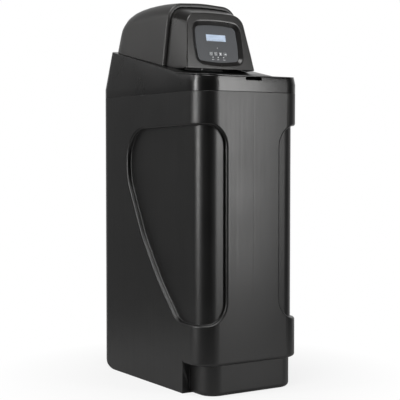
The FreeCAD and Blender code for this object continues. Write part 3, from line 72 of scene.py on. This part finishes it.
# The studio has a white backdrop behind the softener and a dim room in front of it. What the camera and
# clear plastic see of it is plain white, and polished faces mirror the backdrop and the dim room.
def fill(tree, shader, sockets):
    """Sets a shader node's sockets to values, or joins other nodes' sockets to them."""
    for key, value in sockets.items():
        if isinstance(value, bpy.types.NodeSocket):
            tree.links.new(value, shader.inputs[key])
        else:
            shader.inputs[key].default_value = value


def put(tree, kind, sockets=(), **settings):
    """Adds a shader node, sets it, and fills or joins its sockets."""
    made = tree.nodes.new("ShaderNode" + kind)
    for key, value in settings.items():
        setattr(made, key, value)
    fill(tree, made, dict(sockets))
    return made


def reckoned(tree, operation, *values):
    """The result of a sum on numbers or sockets."""
    return put(tree, "Math", dict(enumerate(values)), operation=operation).outputs[0]


def ranged(tree, value, low=0.0, high=1.0, to_low=0.0, to_high=1.0):
    """A value moved from one range to another, and kept inside it."""
    return put(tree, "MapRange", {"Value": value, "From Min": low, "From Max": high, "To Min": to_low,
                                  "To Max": to_high}).outputs[0]


world = bpy.data.worlds.new("studio")
scene.world = world
world.use_nodes = True
tree = world.node_tree
away_from_camera = (0.54, 0.84, 0.0)
room_fill, white = 0.36, 1.0
ray = put(tree, "LightPath").outputs
ahead = put(tree, "VectorMath", {0: put(tree, "TexCoord").outputs["Generated"], 1: away_from_camera},
            operation="DOT_PRODUCT")
backdrop = ranged(tree, ahead.outputs["Value"], low=0.38, high=1.0, to_low=0.02, to_high=1.0)
mirrored_or_fill = put(tree, "Mix", {0: ray["Is Glossy Ray"], 2: room_fill, 3: backdrop})
straight = reckoned(tree, "MAXIMUM", ray["Is Camera Ray"], ray["Is Transmission Ray"])
level = put(tree, "Mix", {0: straight, 2: mirrored_or_fill.outputs[0], 3: white})
fill(tree, tree.nodes["Background"], {"Color": (1, 1, 1, 1), "Strength": level.outputs[0]})


def mesh_of(work, name):
    """The mesh of a drawn shape."""
    mesh = bpy.data.meshes.new(name)
    work.to_mesh(mesh)
    work.free()
    return mesh


def blank_material(name):
    """A new material, its shader tree and its main shader."""
    made = bpy.data.materials.new(name)
    made.use_nodes = True
    return made, made.node_tree, made.node_tree.nodes["Principled BSDF"]


disc = bmesh.new()
bmesh.ops.create_circle(disc, cap_ends=True, segments=128, radius=0.85)
studio_floor = linked("studio_floor", mesh_of(disc, "studio_floor"))
paper, tree, skin = blank_material("studio_paper")
fill(tree, skin, {"Base Color": (0.5, 0.5, 0.5, 1), "Roughness": 0.9, "Specular IOR Level": 0.1})
from_middle = put(tree, "VectorMath", {0: put(tree, "TexCoord").outputs["Object"]}, operation="LENGTH")
faded = ranged(tree, from_middle.outputs["Value"], low=0.25, high=0.62, to_low=0.82, to_high=1.0)
share = reckoned(tree, "MULTIPLY", put(tree, "LightPath").outputs["Is Camera Ray"], faded)
glow = put(tree, "Emission", {"Strength": 1.0})
blended = put(tree, "MixShader", {0: share, 1: skin.outputs[0], 2: glow.outputs[0]})
fill(tree, tree.nodes["Material Output"], {"Surface": blended.outputs[0]})
studio_floor.data.materials.append(paper)


def softbox(name, place, aim, wide, high, watts):
    """A rectangular lamp that faces a point."""
    lamp = linked(name, bpy.data.lights.new(name, "AREA"))
    lamp.data.shape = "RECTANGLE"
    lamp.data.size = wide
    lamp.data.size_y = high
    lamp.data.energy = watts
    lamp.data.color = (1.0, 0.994, 0.986)
    lamp.location = place
    turned(lamp, Vector(aim) - Vector(place))


softbox("front_softbox", (1.17, -2.4, 1.05), (0.0, -0.25, 0.75), wide=0.62, high=1.9, watts=47)
softbox("corner_strip", (-2.35, 0.28, 1.05), (-0.15, -0.22, 0.8), wide=0.2, high=1.6, watts=40)
softbox("side_softbox", (-1.9, 1.8, 1.95), (0.0, 0.0, 0.95), wide=1.3, high=0.7, watts=6)
softbox("top_softbox", (-0.6, -0.6, 2.7), (0.0, 0.0, 0.9), wide=1.2, high=1.2, watts=42)


# The cabinet is one rotationally moulded tub of black polyethylene. Its skin is satin, with a fine
# grain, faint upright draw marks, and soft rounded edges round the two side recesses.
def group_of(name, inputs):
    """An empty shader group that puts out a colour, a roughness and a normal, with its two end nodes."""
    made = bpy.data.node_groups.new(name, "ShaderNodeTree")
    for label, value in inputs.items():
        kind = "NodeSocketColor" if isinstance(value, tuple) else "NodeSocketFloat"
        made.interface.new_socket(name=label, in_out="INPUT", socket_type=kind).default_value = value
    for label, kind in (("Colour", "Color"), ("Roughness", "Float"), ("Normal", "Vector")):
        made.interface.new_socket(name=label, in_out="OUTPUT", socket_type="NodeSocket" + kind)
    return made, made.nodes.new("NodeGroupInput").outputs, made.nodes.new("NodeGroupOutput")


def between(tree, share, first, second):
    """A colour that goes from the first to the second as the share grows."""
    return put(tree, "Mix", {0: share, 6: first, 7: second}, data_type="RGBA").outputs[2]


moulded_skin, given, result = group_of("moulded_skin", {
    "Colour": (0.02, 0.02, 0.02, 1), "Rubbed": (0.05, 0.05, 0.05, 1), "Roughness": 0.35, "Grain": 0.3,
    "Draw marks": 0.3, "Crown": 0.0, "Parting line": 0.0})
grain_height, parting_half, parting_depth = 0.0002, 0.0016, 0.00008
where = put(moulded_skin, "TexCoord").outputs["Object"]
place = put(moulded_skin, "SeparateXYZ", {0: where}).outputs
cloud = put(moulded_skin, "TexNoise", {"Vector": where, "Scale": 7, "Detail": 5})
blotch = ranged(moulded_skin, cloud.outputs["Fac"], low=0.35, high=0.75)
tint = between(moulded_skin, reckoned(moulded_skin, "MULTIPLY", blotch, 0.35), given["Colour"],
               given["Rubbed"])
stretched = put(moulded_skin, "Mapping", {"Vector": where, "Scale": (160, 160, 2.2)})
marks = put(moulded_skin, "TexNoise", {"Vector": stretched.outputs[0], "Scale": 1, "Detail": 3})
centred = reckoned(moulded_skin, "SUBTRACT", marks.outputs["Fac"], 0.5)
marked = reckoned(moulded_skin, "MULTIPLY_ADD", centred, given["Draw marks"], given["Roughness"])
dull = reckoned(moulded_skin, "MULTIPLY_ADD", blotch, 0.05, marked)
speckle = put(moulded_skin, "TexNoise", {"Vector": where, "Scale": 900, "Detail": 2})
grained = reckoned(moulded_skin, "MULTIPLY", speckle.outputs["Fac"], given["Grain"])
raised = reckoned(moulded_skin, "MULTIPLY", grained, grain_height)
squared = reckoned(moulded_skin, "MULTIPLY", place["X"], place["X"])
crowned = reckoned(moulded_skin, "MULTIPLY", squared, given["Crown"])
swell = reckoned(moulded_skin, "SUBTRACT", raised, crowned)
groove = ranged(moulded_skin, reckoned(moulded_skin, "ABSOLUTE", place["X"]), high=parting_half,
                to_low=parting_depth, to_high=0.0)
cut = reckoned(moulded_skin, "MULTIPLY", groove, given["Parting line"])
relief = put(moulded_skin, "Bump", {"Strength": 1.0, "Distance": 1.0,
                                    "Height": reckoned(moulded_skin, "SUBTRACT", swell, cut)})
fill(moulded_skin, result, {"Colour": tint, "Roughness": dull, "Normal": relief.outputs[0]})


def surfaced(name, group, values, shader):
    """A material whose skin comes from a shader group, with its own values."""
    made, tree, skin = blank_material(name)
    surface = tree.nodes.new("ShaderNodeGroup")
    surface.node_tree = group
    fill(tree, surface, values)
    fill(tree, skin, {**shader, "Base Color": surface.outputs["Colour"],
                      "Roughness": surface.outputs["Roughness"], "Normal": surface.outputs["Normal"]})
    return made


def moulded(name, colour, rubbed, roughness, grain, draw_marks=0.0, crown=0.0, parting=0.0, specular=0.5):
    """A plastic made with the moulded skin."""
    return surfaced(name, moulded_skin, {
        "Colour": (*colour, 1), "Rubbed": (*rubbed, 1), "Roughness": roughness, "Grain": grain,
        "Draw marks": draw_marks, "Crown": crown, "Parting line": parting},
        {"Specular IOR Level": specular})


same_place = 0.00002


def unfolded(mesh, reach):
    """Closes the small faces that a rounding has folded back on their neighbours."""
    folded_back, rounds = math.radians(140), 5
    work = bmesh.new()
    work.from_mesh(mesh)
    for _ in range(rounds):
        folds = [edge for edge in work.edges
                 if len(edge.link_faces) == 2 and edge.calc_face_angle(0) > folded_back]
        for edge in folds:
            if not edge.is_valid or len(edge.link_faces) != 2:
                continue
            folded = min(edge.link_faces, key=lambda face: face.calc_area())
            short = min(folded.edges, key=lambda side: side.calc_length())
            if short.calc_length() < reach:
                kept = max(short.verts, key=lambda end: max(face.calc_area() for face in end.link_faces))
                bmesh.ops.pointmerge(work, verts=list(short.verts), merge_co=kept.co.copy())
        bmesh.ops.dissolve_degenerate(work, dist=same_place, edges=work.edges)
        if not folds:
            break
    work.to_mesh(mesh)
    work.free()


def settled(piece):
    """Makes a piece's modifiers part of its mesh."""
    piece.data = bpy.data.meshes.new_from_object(
        piece.evaluated_get(bpy.context.evaluated_depsgraph_get()))
    piece.modifiers.clear()


def softened(name, node, body, material, width, weigh, cuts):
    """A copy of a moulded node with its sharp edges rounded, which stands for the node.

    The cuts split wide rims and faces, at places along each axis."""
    nearly_flat, sharp, on_the_plane = math.radians(0.2), math.radians(24), 0.00001
    work = bmesh.new()
    work.from_mesh(nodes[node].data)
    bmesh.ops.remove_doubles(work, verts=work.verts, dist=same_place)
    bmesh.ops.dissolve_limit(work, angle_limit=nearly_flat, verts=work.verts, edges=work.edges)
    for axis, places in cuts.items():
        across = Vector([axis == letter for letter in "xyz"])
        for cut_place in places:
            bmesh.ops.bisect_plane(work, geom=work.verts[:] + work.edges[:] + work.faces[:],
                                   dist=on_the_plane, plane_co=across * cut_place, plane_no=across)
    weights = work.edges.layers.float.new("bevel_weight_edge")
    for face in work.faces:
        face.smooth = True
    for edge in work.edges:
        edge.smooth = True
        turn = edge.calc_face_angle_signed(0) if len(edge.link_faces) == 2 else 0
        if abs(turn) > sharp:
            edge[weights] = weigh((edge.verts[0].co + edge.verts[1].co) / 2, turn)
            edge.smooth = edge[weights] > 0
    made = linked(name, mesh_of(work, name))
    rounding = made.modifiers.new("rounding", "BEVEL")
    rounding.width = width
    rounding.segments = 3
    rounding.limit_method = "WEIGHT"
    rounding.use_clamp_overlap = False
    rounding.miter_outer = "MITER_ARC"
    settled(made)
    unfolded(made.data, reach=0.7 * width)
    made.modifiers.new("weighted", "WEIGHTED_NORMAL").keep_sharp = True
    settled(made)
    made.data.materials.clear()
    made.data.materials.append(material)
    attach(made, body)
    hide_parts(node)


tub_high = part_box("cabinet_shell")[1]
half_width, half_depth, corner = tub_high.x, tub_high.y, 0.058


def depth_in(point):
    """How far a point lies inside the cabinet's plan, with its two rounded front corners."""
    x, y = abs(point.x), point.y
    if x > half_width - corner and y < corner - half_depth:
        return corner - math.hypot(x - half_width + corner, y + half_depth - corner)
    return min(half_width - x, y + half_depth, half_depth - y)


def cabinet_edges(point, turn):
    """Full on the rims of the recesses, less along their floors, and slight on the other outer edges."""
    recess_foot, recess_head, recess_rear = 0.17, 0.73, 0.13
    rim_skin, floor_start, floor_end, outer_skin = 0.0015, 0.010, 0.0135, 0.03
    inset = depth_in(point)
    if recess_foot < point.z < recess_head and point.y < recess_rear:
        if inset < rim_skin and turn > 0:
            return 1.0
        return 0.4 if floor_start < inset < floor_end else 0
    return 0.2 if inset < outer_skin else 0


cabinet_black = moulded("cabinet_black", (0.0015, 0.0015, 0.0015), (0.0032, 0.0031, 0.003), 0.38, 0.3,
                        draw_marks=0.12, crown=0.2, parting=1.0)
softened("cabinet_tub", "cabinet_shell", "cabinet", cabinet_black,
         width=0.006, weigh=cabinet_edges, cuts={"x": [0], "y": [0.15]})


# The top cover is moulded in the same plastic, from a more polished mould. It drops into the tub with a
# thin seam all round, and carries the salt lid and the hood.
def cover_edges(point, turn):
    """None in the notch and the hinge's trough, full on outward edges, half on inward and low ones."""
    notch_half, notch_rear, notch_foot = 0.031, -0.256, 0.81
    trough_front, trough_rear, skirt_head = -0.150, -0.125, 0.80
    in_the_notch = abs(point.x) < notch_half and point.y < notch_rear and point.z > notch_foot
    if in_the_notch or trough_front < point.y < trough_rear:
        return 0
    return 1.0 if turn > 0 and point.z >= skirt_head else 0.5


cover_black = moulded("cover_black", (0.0015, 0.0015, 0.0015), (0.0032, 0.0031, 0.003), 0.27, 0.3,
                      draw_marks=0.05, crown=0.2, parting=1.0)
softened("cover", "top_cover", "cabinet", cover_black,
         width=0.0016, weigh=cover_edges, cuts={"x": [-0.12, -0.026, 0, 0.026, 0.12], "y": [-0.2, 0, 0.2]})


# The finger notch is lined with a thin sheet of matt black, painted shade that makes the notch as dark as its
# own shadow. It lies in the cover's pocket, a bent strip with rounded lower corners and a back wall.
def walled(work, first, second):
    """Joins two rings of corners by a wall of faces."""
    for corners in zip(first, first[1:] + first[:1], second[1:] + second[:1], second):
        work.faces.new(corners)


# painted shade: a darker and matter black than the cover, so that the notch shows black
notch_shade_black = moulded("notch_shade_black", (0.0012, 0.0012, 0.0012), (0.002, 0.002, 0.002), 0.9, 1.0, specular=0.04)
half, foot, head, fillet, sheet = 0.0258, 0.8261, 0.8362, 0.0028, 0.0003
mouth, back, behind, corner_steps = -0.2744, -0.2625, -0.2622, 8
outside, inside = [(-half, head)], [(-half + sheet, head)]
for step in range(corner_steps + 1):
    turn = math.pi / 2 * step / corner_steps
    for radius, path in ((fillet, outside), (fillet - sheet, inside)):
        path.append((-half + fillet - radius * math.cos(turn), foot + fillet - radius * math.sin(turn)))
for path in (outside, inside):
    path.extend([(-x, z) for x, z in reversed(path)])
strip = bmesh.new()
rings = [[strip.verts.new((x, y, z)) for x, z in outside + inside[::-1]] for y in (mouth, back)]
walled(strip, *rings)
for ring in rings:
    for corners in zip(ring, ring[1:len(outside)], ring[-2::-1], ring[::-1]):
        strip.faces.new(corners)
back_wall = [[strip.verts.new((x, y, z)) for x, z in outside] for y in (back, behind)]
strip.faces.new(back_wall[0])
strip.faces.new(back_wall[1][::-1])
walled(strip, *back_wall)
bmesh.ops.recalc_face_normals(strip, faces=strip.faces)
shade_sheet = linked("notch_shade_sheet", mesh_of(strip, "notch_shade_sheet"))
shade_sheet.data.materials.append(notch_shade_black)
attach(shade_sheet, "cabinet")


# The salt lid is a shallow tray of the same plastic, the front part of the cover's deck. It lifts on two
# pins at its rear edge, and its corners there are notched round the deck beside the trough.
def lid_edges(point, turn):
    """Full on the front and sides, none at the hinge."""
    hinge_front = -0.14
    return 1.0 if point.y < hinge_front else 0


softened("lid_tray", "salt_lid", "lid", cover_black,
         width=0.0012, weigh=lid_edges, cuts={"x": [-0.1, 0, 0.1], "y": [-0.2, -0.24]})


# The shafts, clips and screws are drawn steel with fine scratches. The lid swings on two blued steel pins
# in the trough behind the salt opening.
def dress(material, *names):
    """Gives CAD nodes their material."""
    for name in names:
        mesh = nodes[name].data
        mesh.materials.clear()
        mesh.materials.append(material)


drawn_metal, given, result = group_of("drawn_metal", {
    "Colour": (0.5, 0.5, 0.5, 1), "Roughness": 0.3, "Scratches": 0.5})
where = put(drawn_metal, "TexCoord").outputs["Object"]
stretched = put(drawn_metal, "Mapping", {"Vector": where, "Scale": (900, 60, 900)})
lines = put(drawn_metal, "TexNoise", {"Vector": stretched.outputs[0], "Scale": 1, "Detail": 3}).outputs["Fac"]
dull = reckoned(drawn_metal, "MULTIPLY_ADD", lines, 0.2, given["Roughness"])
clouds = put(drawn_metal, "TexNoise", {"Vector": where, "Scale": 60, "Detail": 4})
shade = ranged(drawn_metal, clouds.outputs["Fac"], to_low=0.75, to_high=1.1)
shaded = put(drawn_metal, "VectorMath", {0: given["Colour"], "Scale": shade}, operation="SCALE")
etched = put(drawn_metal, "Bump", {"Strength": given["Scratches"], "Distance": 0.00005, "Height": lines})
fill(drawn_metal, result, {"Colour": shaded.outputs[0], "Roughness": dull, "Normal": etched.outputs[0]})


def metal(name, colour, roughness, scratches=0.5):
    """A metal made with the drawn skin."""
    return surfaced(name, drawn_metal, {"Colour": (*colour, 1), "Roughness": roughness,
                                        "Scratches": scratches}, {"Metallic": 1.0})


dress(metal("blued_steel", (0.02, 0.021, 0.024), 0.34), "lid_hinge_pins")
dress(metal("drawn_steel", (0.5, 0.5, 0.51), 0.18),
      "piston_rod", "meter_axle", "reduction_axle", "bracket_screws", "port_clips")

# The hood is a satin black dome of moulded plastic, with a smoother bezel let into its front round the
# control panel. The two stand on the cover's deck and are lifted off as one.
hood_black = moulded("hood_black", (0.0125, 0.0122, 0.012), (0.018, 0.0175, 0.0168), 0.42, 0.4)
bezel_black = moulded("bezel_black", (0.0085, 0.0082, 0.0079), (0.013, 0.0125, 0.012), 0.27, 0.2)
bezel_foot, panel_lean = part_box("hood_bezel")[0], math.radians(77.5)
# the plane of the bezel's sloping front, from the middle of its foot: across, up the slope, and outwards
panel_plane = Matrix.Translation((0, bezel_foot.y, bezel_foot.z)) @ Matrix.Rotation(panel_lean, 4, "X")


def hood_edges(point, turn):
    """Full on outward edges, half on inward ones."""
    return 1.0 if turn > 0 else 0.5


def bezel_edges(point, turn):
    """As on the hood, but none round the window's inside and on the hidden rear edges."""
    window_half, window_foot, window_head, window_depth, hidden_from = 0.09, 0.005, 0.135, -0.002, -0.030
    place = panel_plane.inverted() @ point
    in_the_window = (abs(place.x) < window_half and window_foot < place.y < window_head
                     and place.z < window_depth)
    return 0 if in_the_window or point.y > hidden_from else hood_edges(point, turn)


softened("dome", "hood_dome", "hood", hood_black,
         width=0.0016, weigh=hood_edges, cuts={"x": [-0.09, 0, 0.09], "y": [0.03, 0.15], "z": [0.95]})
softened("bezel", "hood_bezel", "hood", bezel_black,
         width=0.0022, weigh=bezel_edges, cuts={"x": [0]})

# The control panel is a blue-grey printed film on a stiff plate. Its four soft keys come up through the
# film, each with a fine white frame and sign. Places on it are in millimetres, across and up its slope.
dress(moulded("panel_film", (0.034, 0.037, 0.042), (0.04, 0.044, 0.049), 0.42, 0.2), "control_face")
dress(moulded("key_black", (0.018, 0.02, 0.023), (0.024, 0.026, 0.03), 0.5, 0.5),
      "key_1", "key_2", "key_3", "key_4")
white_ink = moulded("white_ink", (0.62, 0.64, 0.66), (0.7, 0.72, 0.74), 0.55, 0.2)
key_row, dash_row, key_face, film_face, ink = 45.5, 29.6, -7.0, -7.8, 0.06
round_turns = [2 * math.pi * n / 20 for n in range(21)]


def bar(x, y, long, high):
    """A printed rectangle about a point."""
    return [(x - long / 2, y - high / 2), (x + long / 2, y - high / 2), (x + long / 2, y + high / 2),
            (x - long / 2, y + high / 2)]


def rim_point(x, y, radius, turn):
    """A point at a turn round a middle."""
    return x + radius * math.cos(turn), y + radius * math.sin(turn)


def dot(x, y, radius):
    """A printed disc."""
    return [rim_point(x, y, radius, turn) for turn in round_turns[:-1]]


def ring_of(x, y, radius, line):
    """A printed ring, as a run of short quads."""
    return [[rim_point(x, y, r, turn) for r, turn in ((radius, a), (radius, b), (radius - line, b),
                                                      (radius - line, a))]
            for a, b in zip(round_turns, round_turns[1:])]


def key_frame(x):
    """The four lines round a key."""
    reach, long, high, line = 4.2, 8.8, 8.0, 0.5
    return [bar(x, key_row - reach, long, line), bar(x, key_row + reach, long, line),
            bar(x - reach, key_row, line, high), bar(x + reach, key_row, line, high)]


def clock(x):
    """A ring with two hands."""
    hands = [bar(x, key_row + 0.8, 0.5, 1.8), bar(x + 0.6, key_row, 1.5, 0.5)]
    return ring_of(x, key_row, 2.6, 0.55) + hands


def menu(x):
    """Three lines."""
    return [bar(x, key_row + rise, 4.4, 0.7) for rise in (1.9, 0, -1.9)]


def bulb(x):
    """A disc over a short line."""
    return [dot(x, key_row + 0.7, 2.3), bar(x, key_row - 2.6, 4.2, 0.6)]


def step_back(x):
    """A head that points to the left, with a bar behind it."""
    return [[(x + 1.7, key_row - 2.3), (x + 1.7, key_row + 2.3), (x - 2.2, key_row)],
            bar(x + 2.8, key_row, 0.6, 4.6)]


def triangle(x, y, half, rise):
    """A triangle on a level edge, which points down where its rise is negative."""
    return [(x - half, y), (x + half, y), (x, y + rise)]


def printed(name, shapes, lift, body):
    """Thin shapes of white ink, at a height over the panel's plane."""
    work = bmesh.new()
    for shape in shapes:
        low, high = [[work.verts.new((x / 1000, y / 1000, z / 1000)) for x, y in shape]
                     for z in (lift, lift + ink)]
        work.faces.new(high)
        walled(work, low, high)
    bmesh.ops.transform(work, matrix=panel_plane, verts=work.verts)
    made = linked(name, mesh_of(work, name))
    made.data.materials.append(white_ink)
    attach(made, body)


for number, sign in enumerate((clock, menu, bulb, step_back), start=1):
    low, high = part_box(f"key_{number}")
    x, body = 1000 * (low.x + high.x) / 2, "key_" + "abcd"[number - 1]
    printed(f"key_sign_{number}", key_frame(x) + sign(x), key_face, body)
triangles = [triangle(0.2, 61.9, 1.4, 2.1), triangle(-17.6, 35.0, 2.0, 3.4), triangle(-0.9, 35.0, 2.0, 3.4),
             triangle(17.6, 37.6, 2.0, -2.6)]
dashes = [bar(x, dash_row, long, 1.1) for x, long in (
    (-20.0, 3.4), (-16.2, 2.6), (-2.8, 3.0), (0.6, 2.2), (16.4, 3.0), (20.2, 3.2))]
printed("panel_marks", triangles + dashes, film_face, "cabinet")


# The display is a lit liquid crystal cell of pale blue, with two rows of faint character cells, behind a
# clear acrylic window that lies flush in the film.
def along_panel(tree):
    """Places on a material that lies in the panel's slope."""
    return put(tree, "Mapping", {"Vector": put(tree, "TexCoord").outputs["Object"],
                                 "Rotation": (-panel_lean, 0, 0)}).outputs[0]


lit_face, tree, skin = blank_material("lit_face")
cells = put(tree, "TexBrick", {"Vector": along_panel(tree), "Color1": (0.56, 0.66, 0.8, 1),
                               "Color2": (0.6, 0.7, 0.84, 1), "Mortar": (0.68, 0.78, 0.92, 1),
                               "Scale": 1.0, "Mortar Size": 0.0004, "Brick Width": 0.0036,
                               "Row Height": 0.0075}, offset=0.0).outputs["Color"]
dimmed = put(tree, "VectorMath", {0: cells, "Scale": 0.3}, operation="SCALE")
fill(tree, skin, {"Roughness": 0.35, "Emission Strength": 0.62, "Emission Color": cells,
                  "Base Color": dimmed.outputs[0]})
dress(lit_face, "lcd_display")
clear_acrylic, tree, skin = blank_material("clear_acrylic")
haze = put(tree, "TexNoise", {"Vector": put(tree, "TexCoord").outputs["Object"], "Scale": 300})
fill(tree, skin, {"Base Color": (0.95, 0.97, 1.0, 1), "Transmission Weight": 1.0, "IOR": 1.49,
                  "Roughness": ranged(tree, haze.outputs["Fac"], to_low=0.01, to_high=0.06)})
dress(clear_acrylic, "lcd_window")

# Behind the panel a closed plastic box holds the circuit board, a green laminate with copper tracks under
# its lacquer, and the socket for the low-voltage supply.
dress(moulded("housing", (0.03, 0.031, 0.033), (0.045, 0.045, 0.046), 0.48, 0.6),
      "control_box", "power_inlet", "drive_bracket")
laminate, tree, skin = blank_material("laminate")
tracks = put(tree, "TexBrick", {"Vector": along_panel(tree), "Color1": (0.012, 0.07, 0.03, 1),
                                "Color2": (0.014, 0.09, 0.036, 1), "Mortar": (0.05, 0.17, 0.06, 1),
                                "Scale": 1.0, "Mortar Size": 0.0003, "Brick Width": 0.011,
                                "Row Height": 0.0031}).outputs
raised = put(tree, "Bump", {"Strength": 0.6, "Distance": 0.00005, "Height": tracks["Fac"]})
fill(tree, skin, {"Roughness": 0.3, "Base Color": tracks["Color"], "Normal": raised.outputs[0]})
dress(laminate, "circuit_board")

# The valve's gear motor is a zinc-plated can on a plastic bracket. Through a pinion and a double gear of
# white acetal it turns the main gear, which sits round the piston's rod.
dress(metal("zinc_can", (0.42, 0.43, 0.42), 0.3, scratches=0.3), "drive_motor")
dress(moulded("acetal", (0.72, 0.71, 0.67), (0.62, 0.6, 0.54), 0.35, 0.3),
      "main_drive_gear", "reduction_gear", "motor_pinion", "meter_turbine", "valve_piston")

# The control valve is moulded in black glass-filled plastic with a slightly rough skin, and its seals are
# rings of soft rubber with spacers between them.
dress(moulded("glass_filled", (0.018, 0.018, 0.019), (0.034, 0.033, 0.032), 0.5, 1.6),
      "valve_body", "bypass_body", "drain_elbow", "injector_cap", "coupling_nuts")
dress(moulded("rubber", (0.012, 0.012, 0.012), (0.02, 0.02, 0.02), 0.62, 0.8), "seal_stack", "tank_base")

# Two moulded red handles turn the bypass valve's rotors. Two grey plastic tails carry the house's water,
# each held against the bypass by a nut over its flange.
dress(moulded("handle_red", (0.42, 0.018, 0.014), (0.5, 0.04, 0.03), 0.36, 0.4),
      "bypass_handle_inlet", "bypass_handle_outlet")
dress(moulded("tail_grey", (0.12, 0.125, 0.13), (0.16, 0.16, 0.165), 0.42, 0.6), "inlet_tail", "outlet_tail")

# The resin tank is a blow-moulded liner wound with glass fibre in resin. The crossing bands of fibre show
# through the blue wrap.
wound_wrap, tree, skin = blank_material("wound_wrap")
low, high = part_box("resin_tank")
turns_round, climb_rate = 22, 210
about = put(tree, "Mapping", {"Vector": put(tree, "TexCoord").outputs["Object"],
                              "Location": (0, -(low.y + high.y) / 2, 0)}).outputs[0]
axes = put(tree, "SeparateXYZ", {0: about}).outputs
around = reckoned(tree, "ARCTAN2", axes["Y"], axes["X"])
bands = []
for rate in (climb_rate, -climb_rate):
    climb = reckoned(tree, "MULTIPLY", axes["Z"], rate)
    bands.append(reckoned(tree, "SINE", reckoned(tree, "MULTIPLY_ADD", around, turns_round, climb)))
strand = put(tree, "TexNoise", {"Vector": about, "Scale": 260, "Detail": 4}).outputs["Fac"]
fibre = reckoned(tree, "MULTIPLY_ADD", strand, 0.6, reckoned(tree, "MAXIMUM", *bands))
blend = ranged(tree, fibre, low=-0.6, high=1.5)
ridged = put(tree, "Bump", {"Strength": 0.7, "Distance": 0.0004, "Height": fibre})
fill(tree, skin, {"Roughness": 0.34, "Coat Roughness": 0.2, "Coat Weight": blend,
                  "Base Color": between(tree, blend, (0.03, 0.075, 0.16, 1), (0.075, 0.15, 0.27, 1)),
                  "Normal": ridged.outputs[0]})
dress(wound_wrap, "resin_tank")

# The tank is filled with amber ion-exchange beads, which are loose round a riser tube. The tube is of pale
# plastic and ends in a slotted basket.
amber, tree, skin = blank_material("amber_beads")
pearls = put(tree, "TexVoronoi", {"Vector": put(tree, "TexCoord").outputs["Object"], "Scale": 900})
centre_way = pearls.outputs["Distance"]
beaded = put(tree, "Bump", {"Strength": 1.0, "Distance": 0.0004, "Height": centre_way}, invert=True)
fill(tree, skin, {"Roughness": 0.28, "Normal": beaded.outputs[0],
                  # painted shade: the colour darkens from each bead's middle to its rim, in the gaps between
                  # the beads
                  "Base Color": between(tree, centre_way, (0.5, 0.2, 0.035, 1), (0.22, 0.07, 0.01, 1))})
dress(amber, "resin_bed")
dress(moulded("pale_pipe", (0.5, 0.5, 0.48), (0.42, 0.41, 0.38), 0.4, 0.4), "riser_tube", "lower_basket")

# The brine well is a white extruded tube with a push-fit cap. Inside it a float of white foam plastic
# rides on a rod and shuts the brine valve.
dress(moulded("well_white", (0.66, 0.67, 0.66), (0.55, 0.55, 0.52), 0.4, 0.3, draw_marks=0.2),
      "brine_well", "brine_well_cap", "float_ball", "float_rod")
dress(moulded("valve_grey", (0.2, 0.21, 0.22), (0.26, 0.26, 0.27), 0.42, 0.5),
      "float_valve", "air_check", "pickup_tube")

# The brine line is a milky flexible tube from the well up to the valve. Salt rests on a slotted grid of
# dark plastic over the water, and an elbow with a nut lets an overfull tub run over.
dress(moulded("line_tube", (0.5, 0.52, 0.52), (0.56, 0.57, 0.56), 0.32, 0.1), "brine_line")
dress(moulded("grid_plastic", (0.05, 0.052, 0.055), (0.09, 0.09, 0.09), 0.52, 1.0),
      "salt_grid", "overflow_elbow", "overflow_nut")
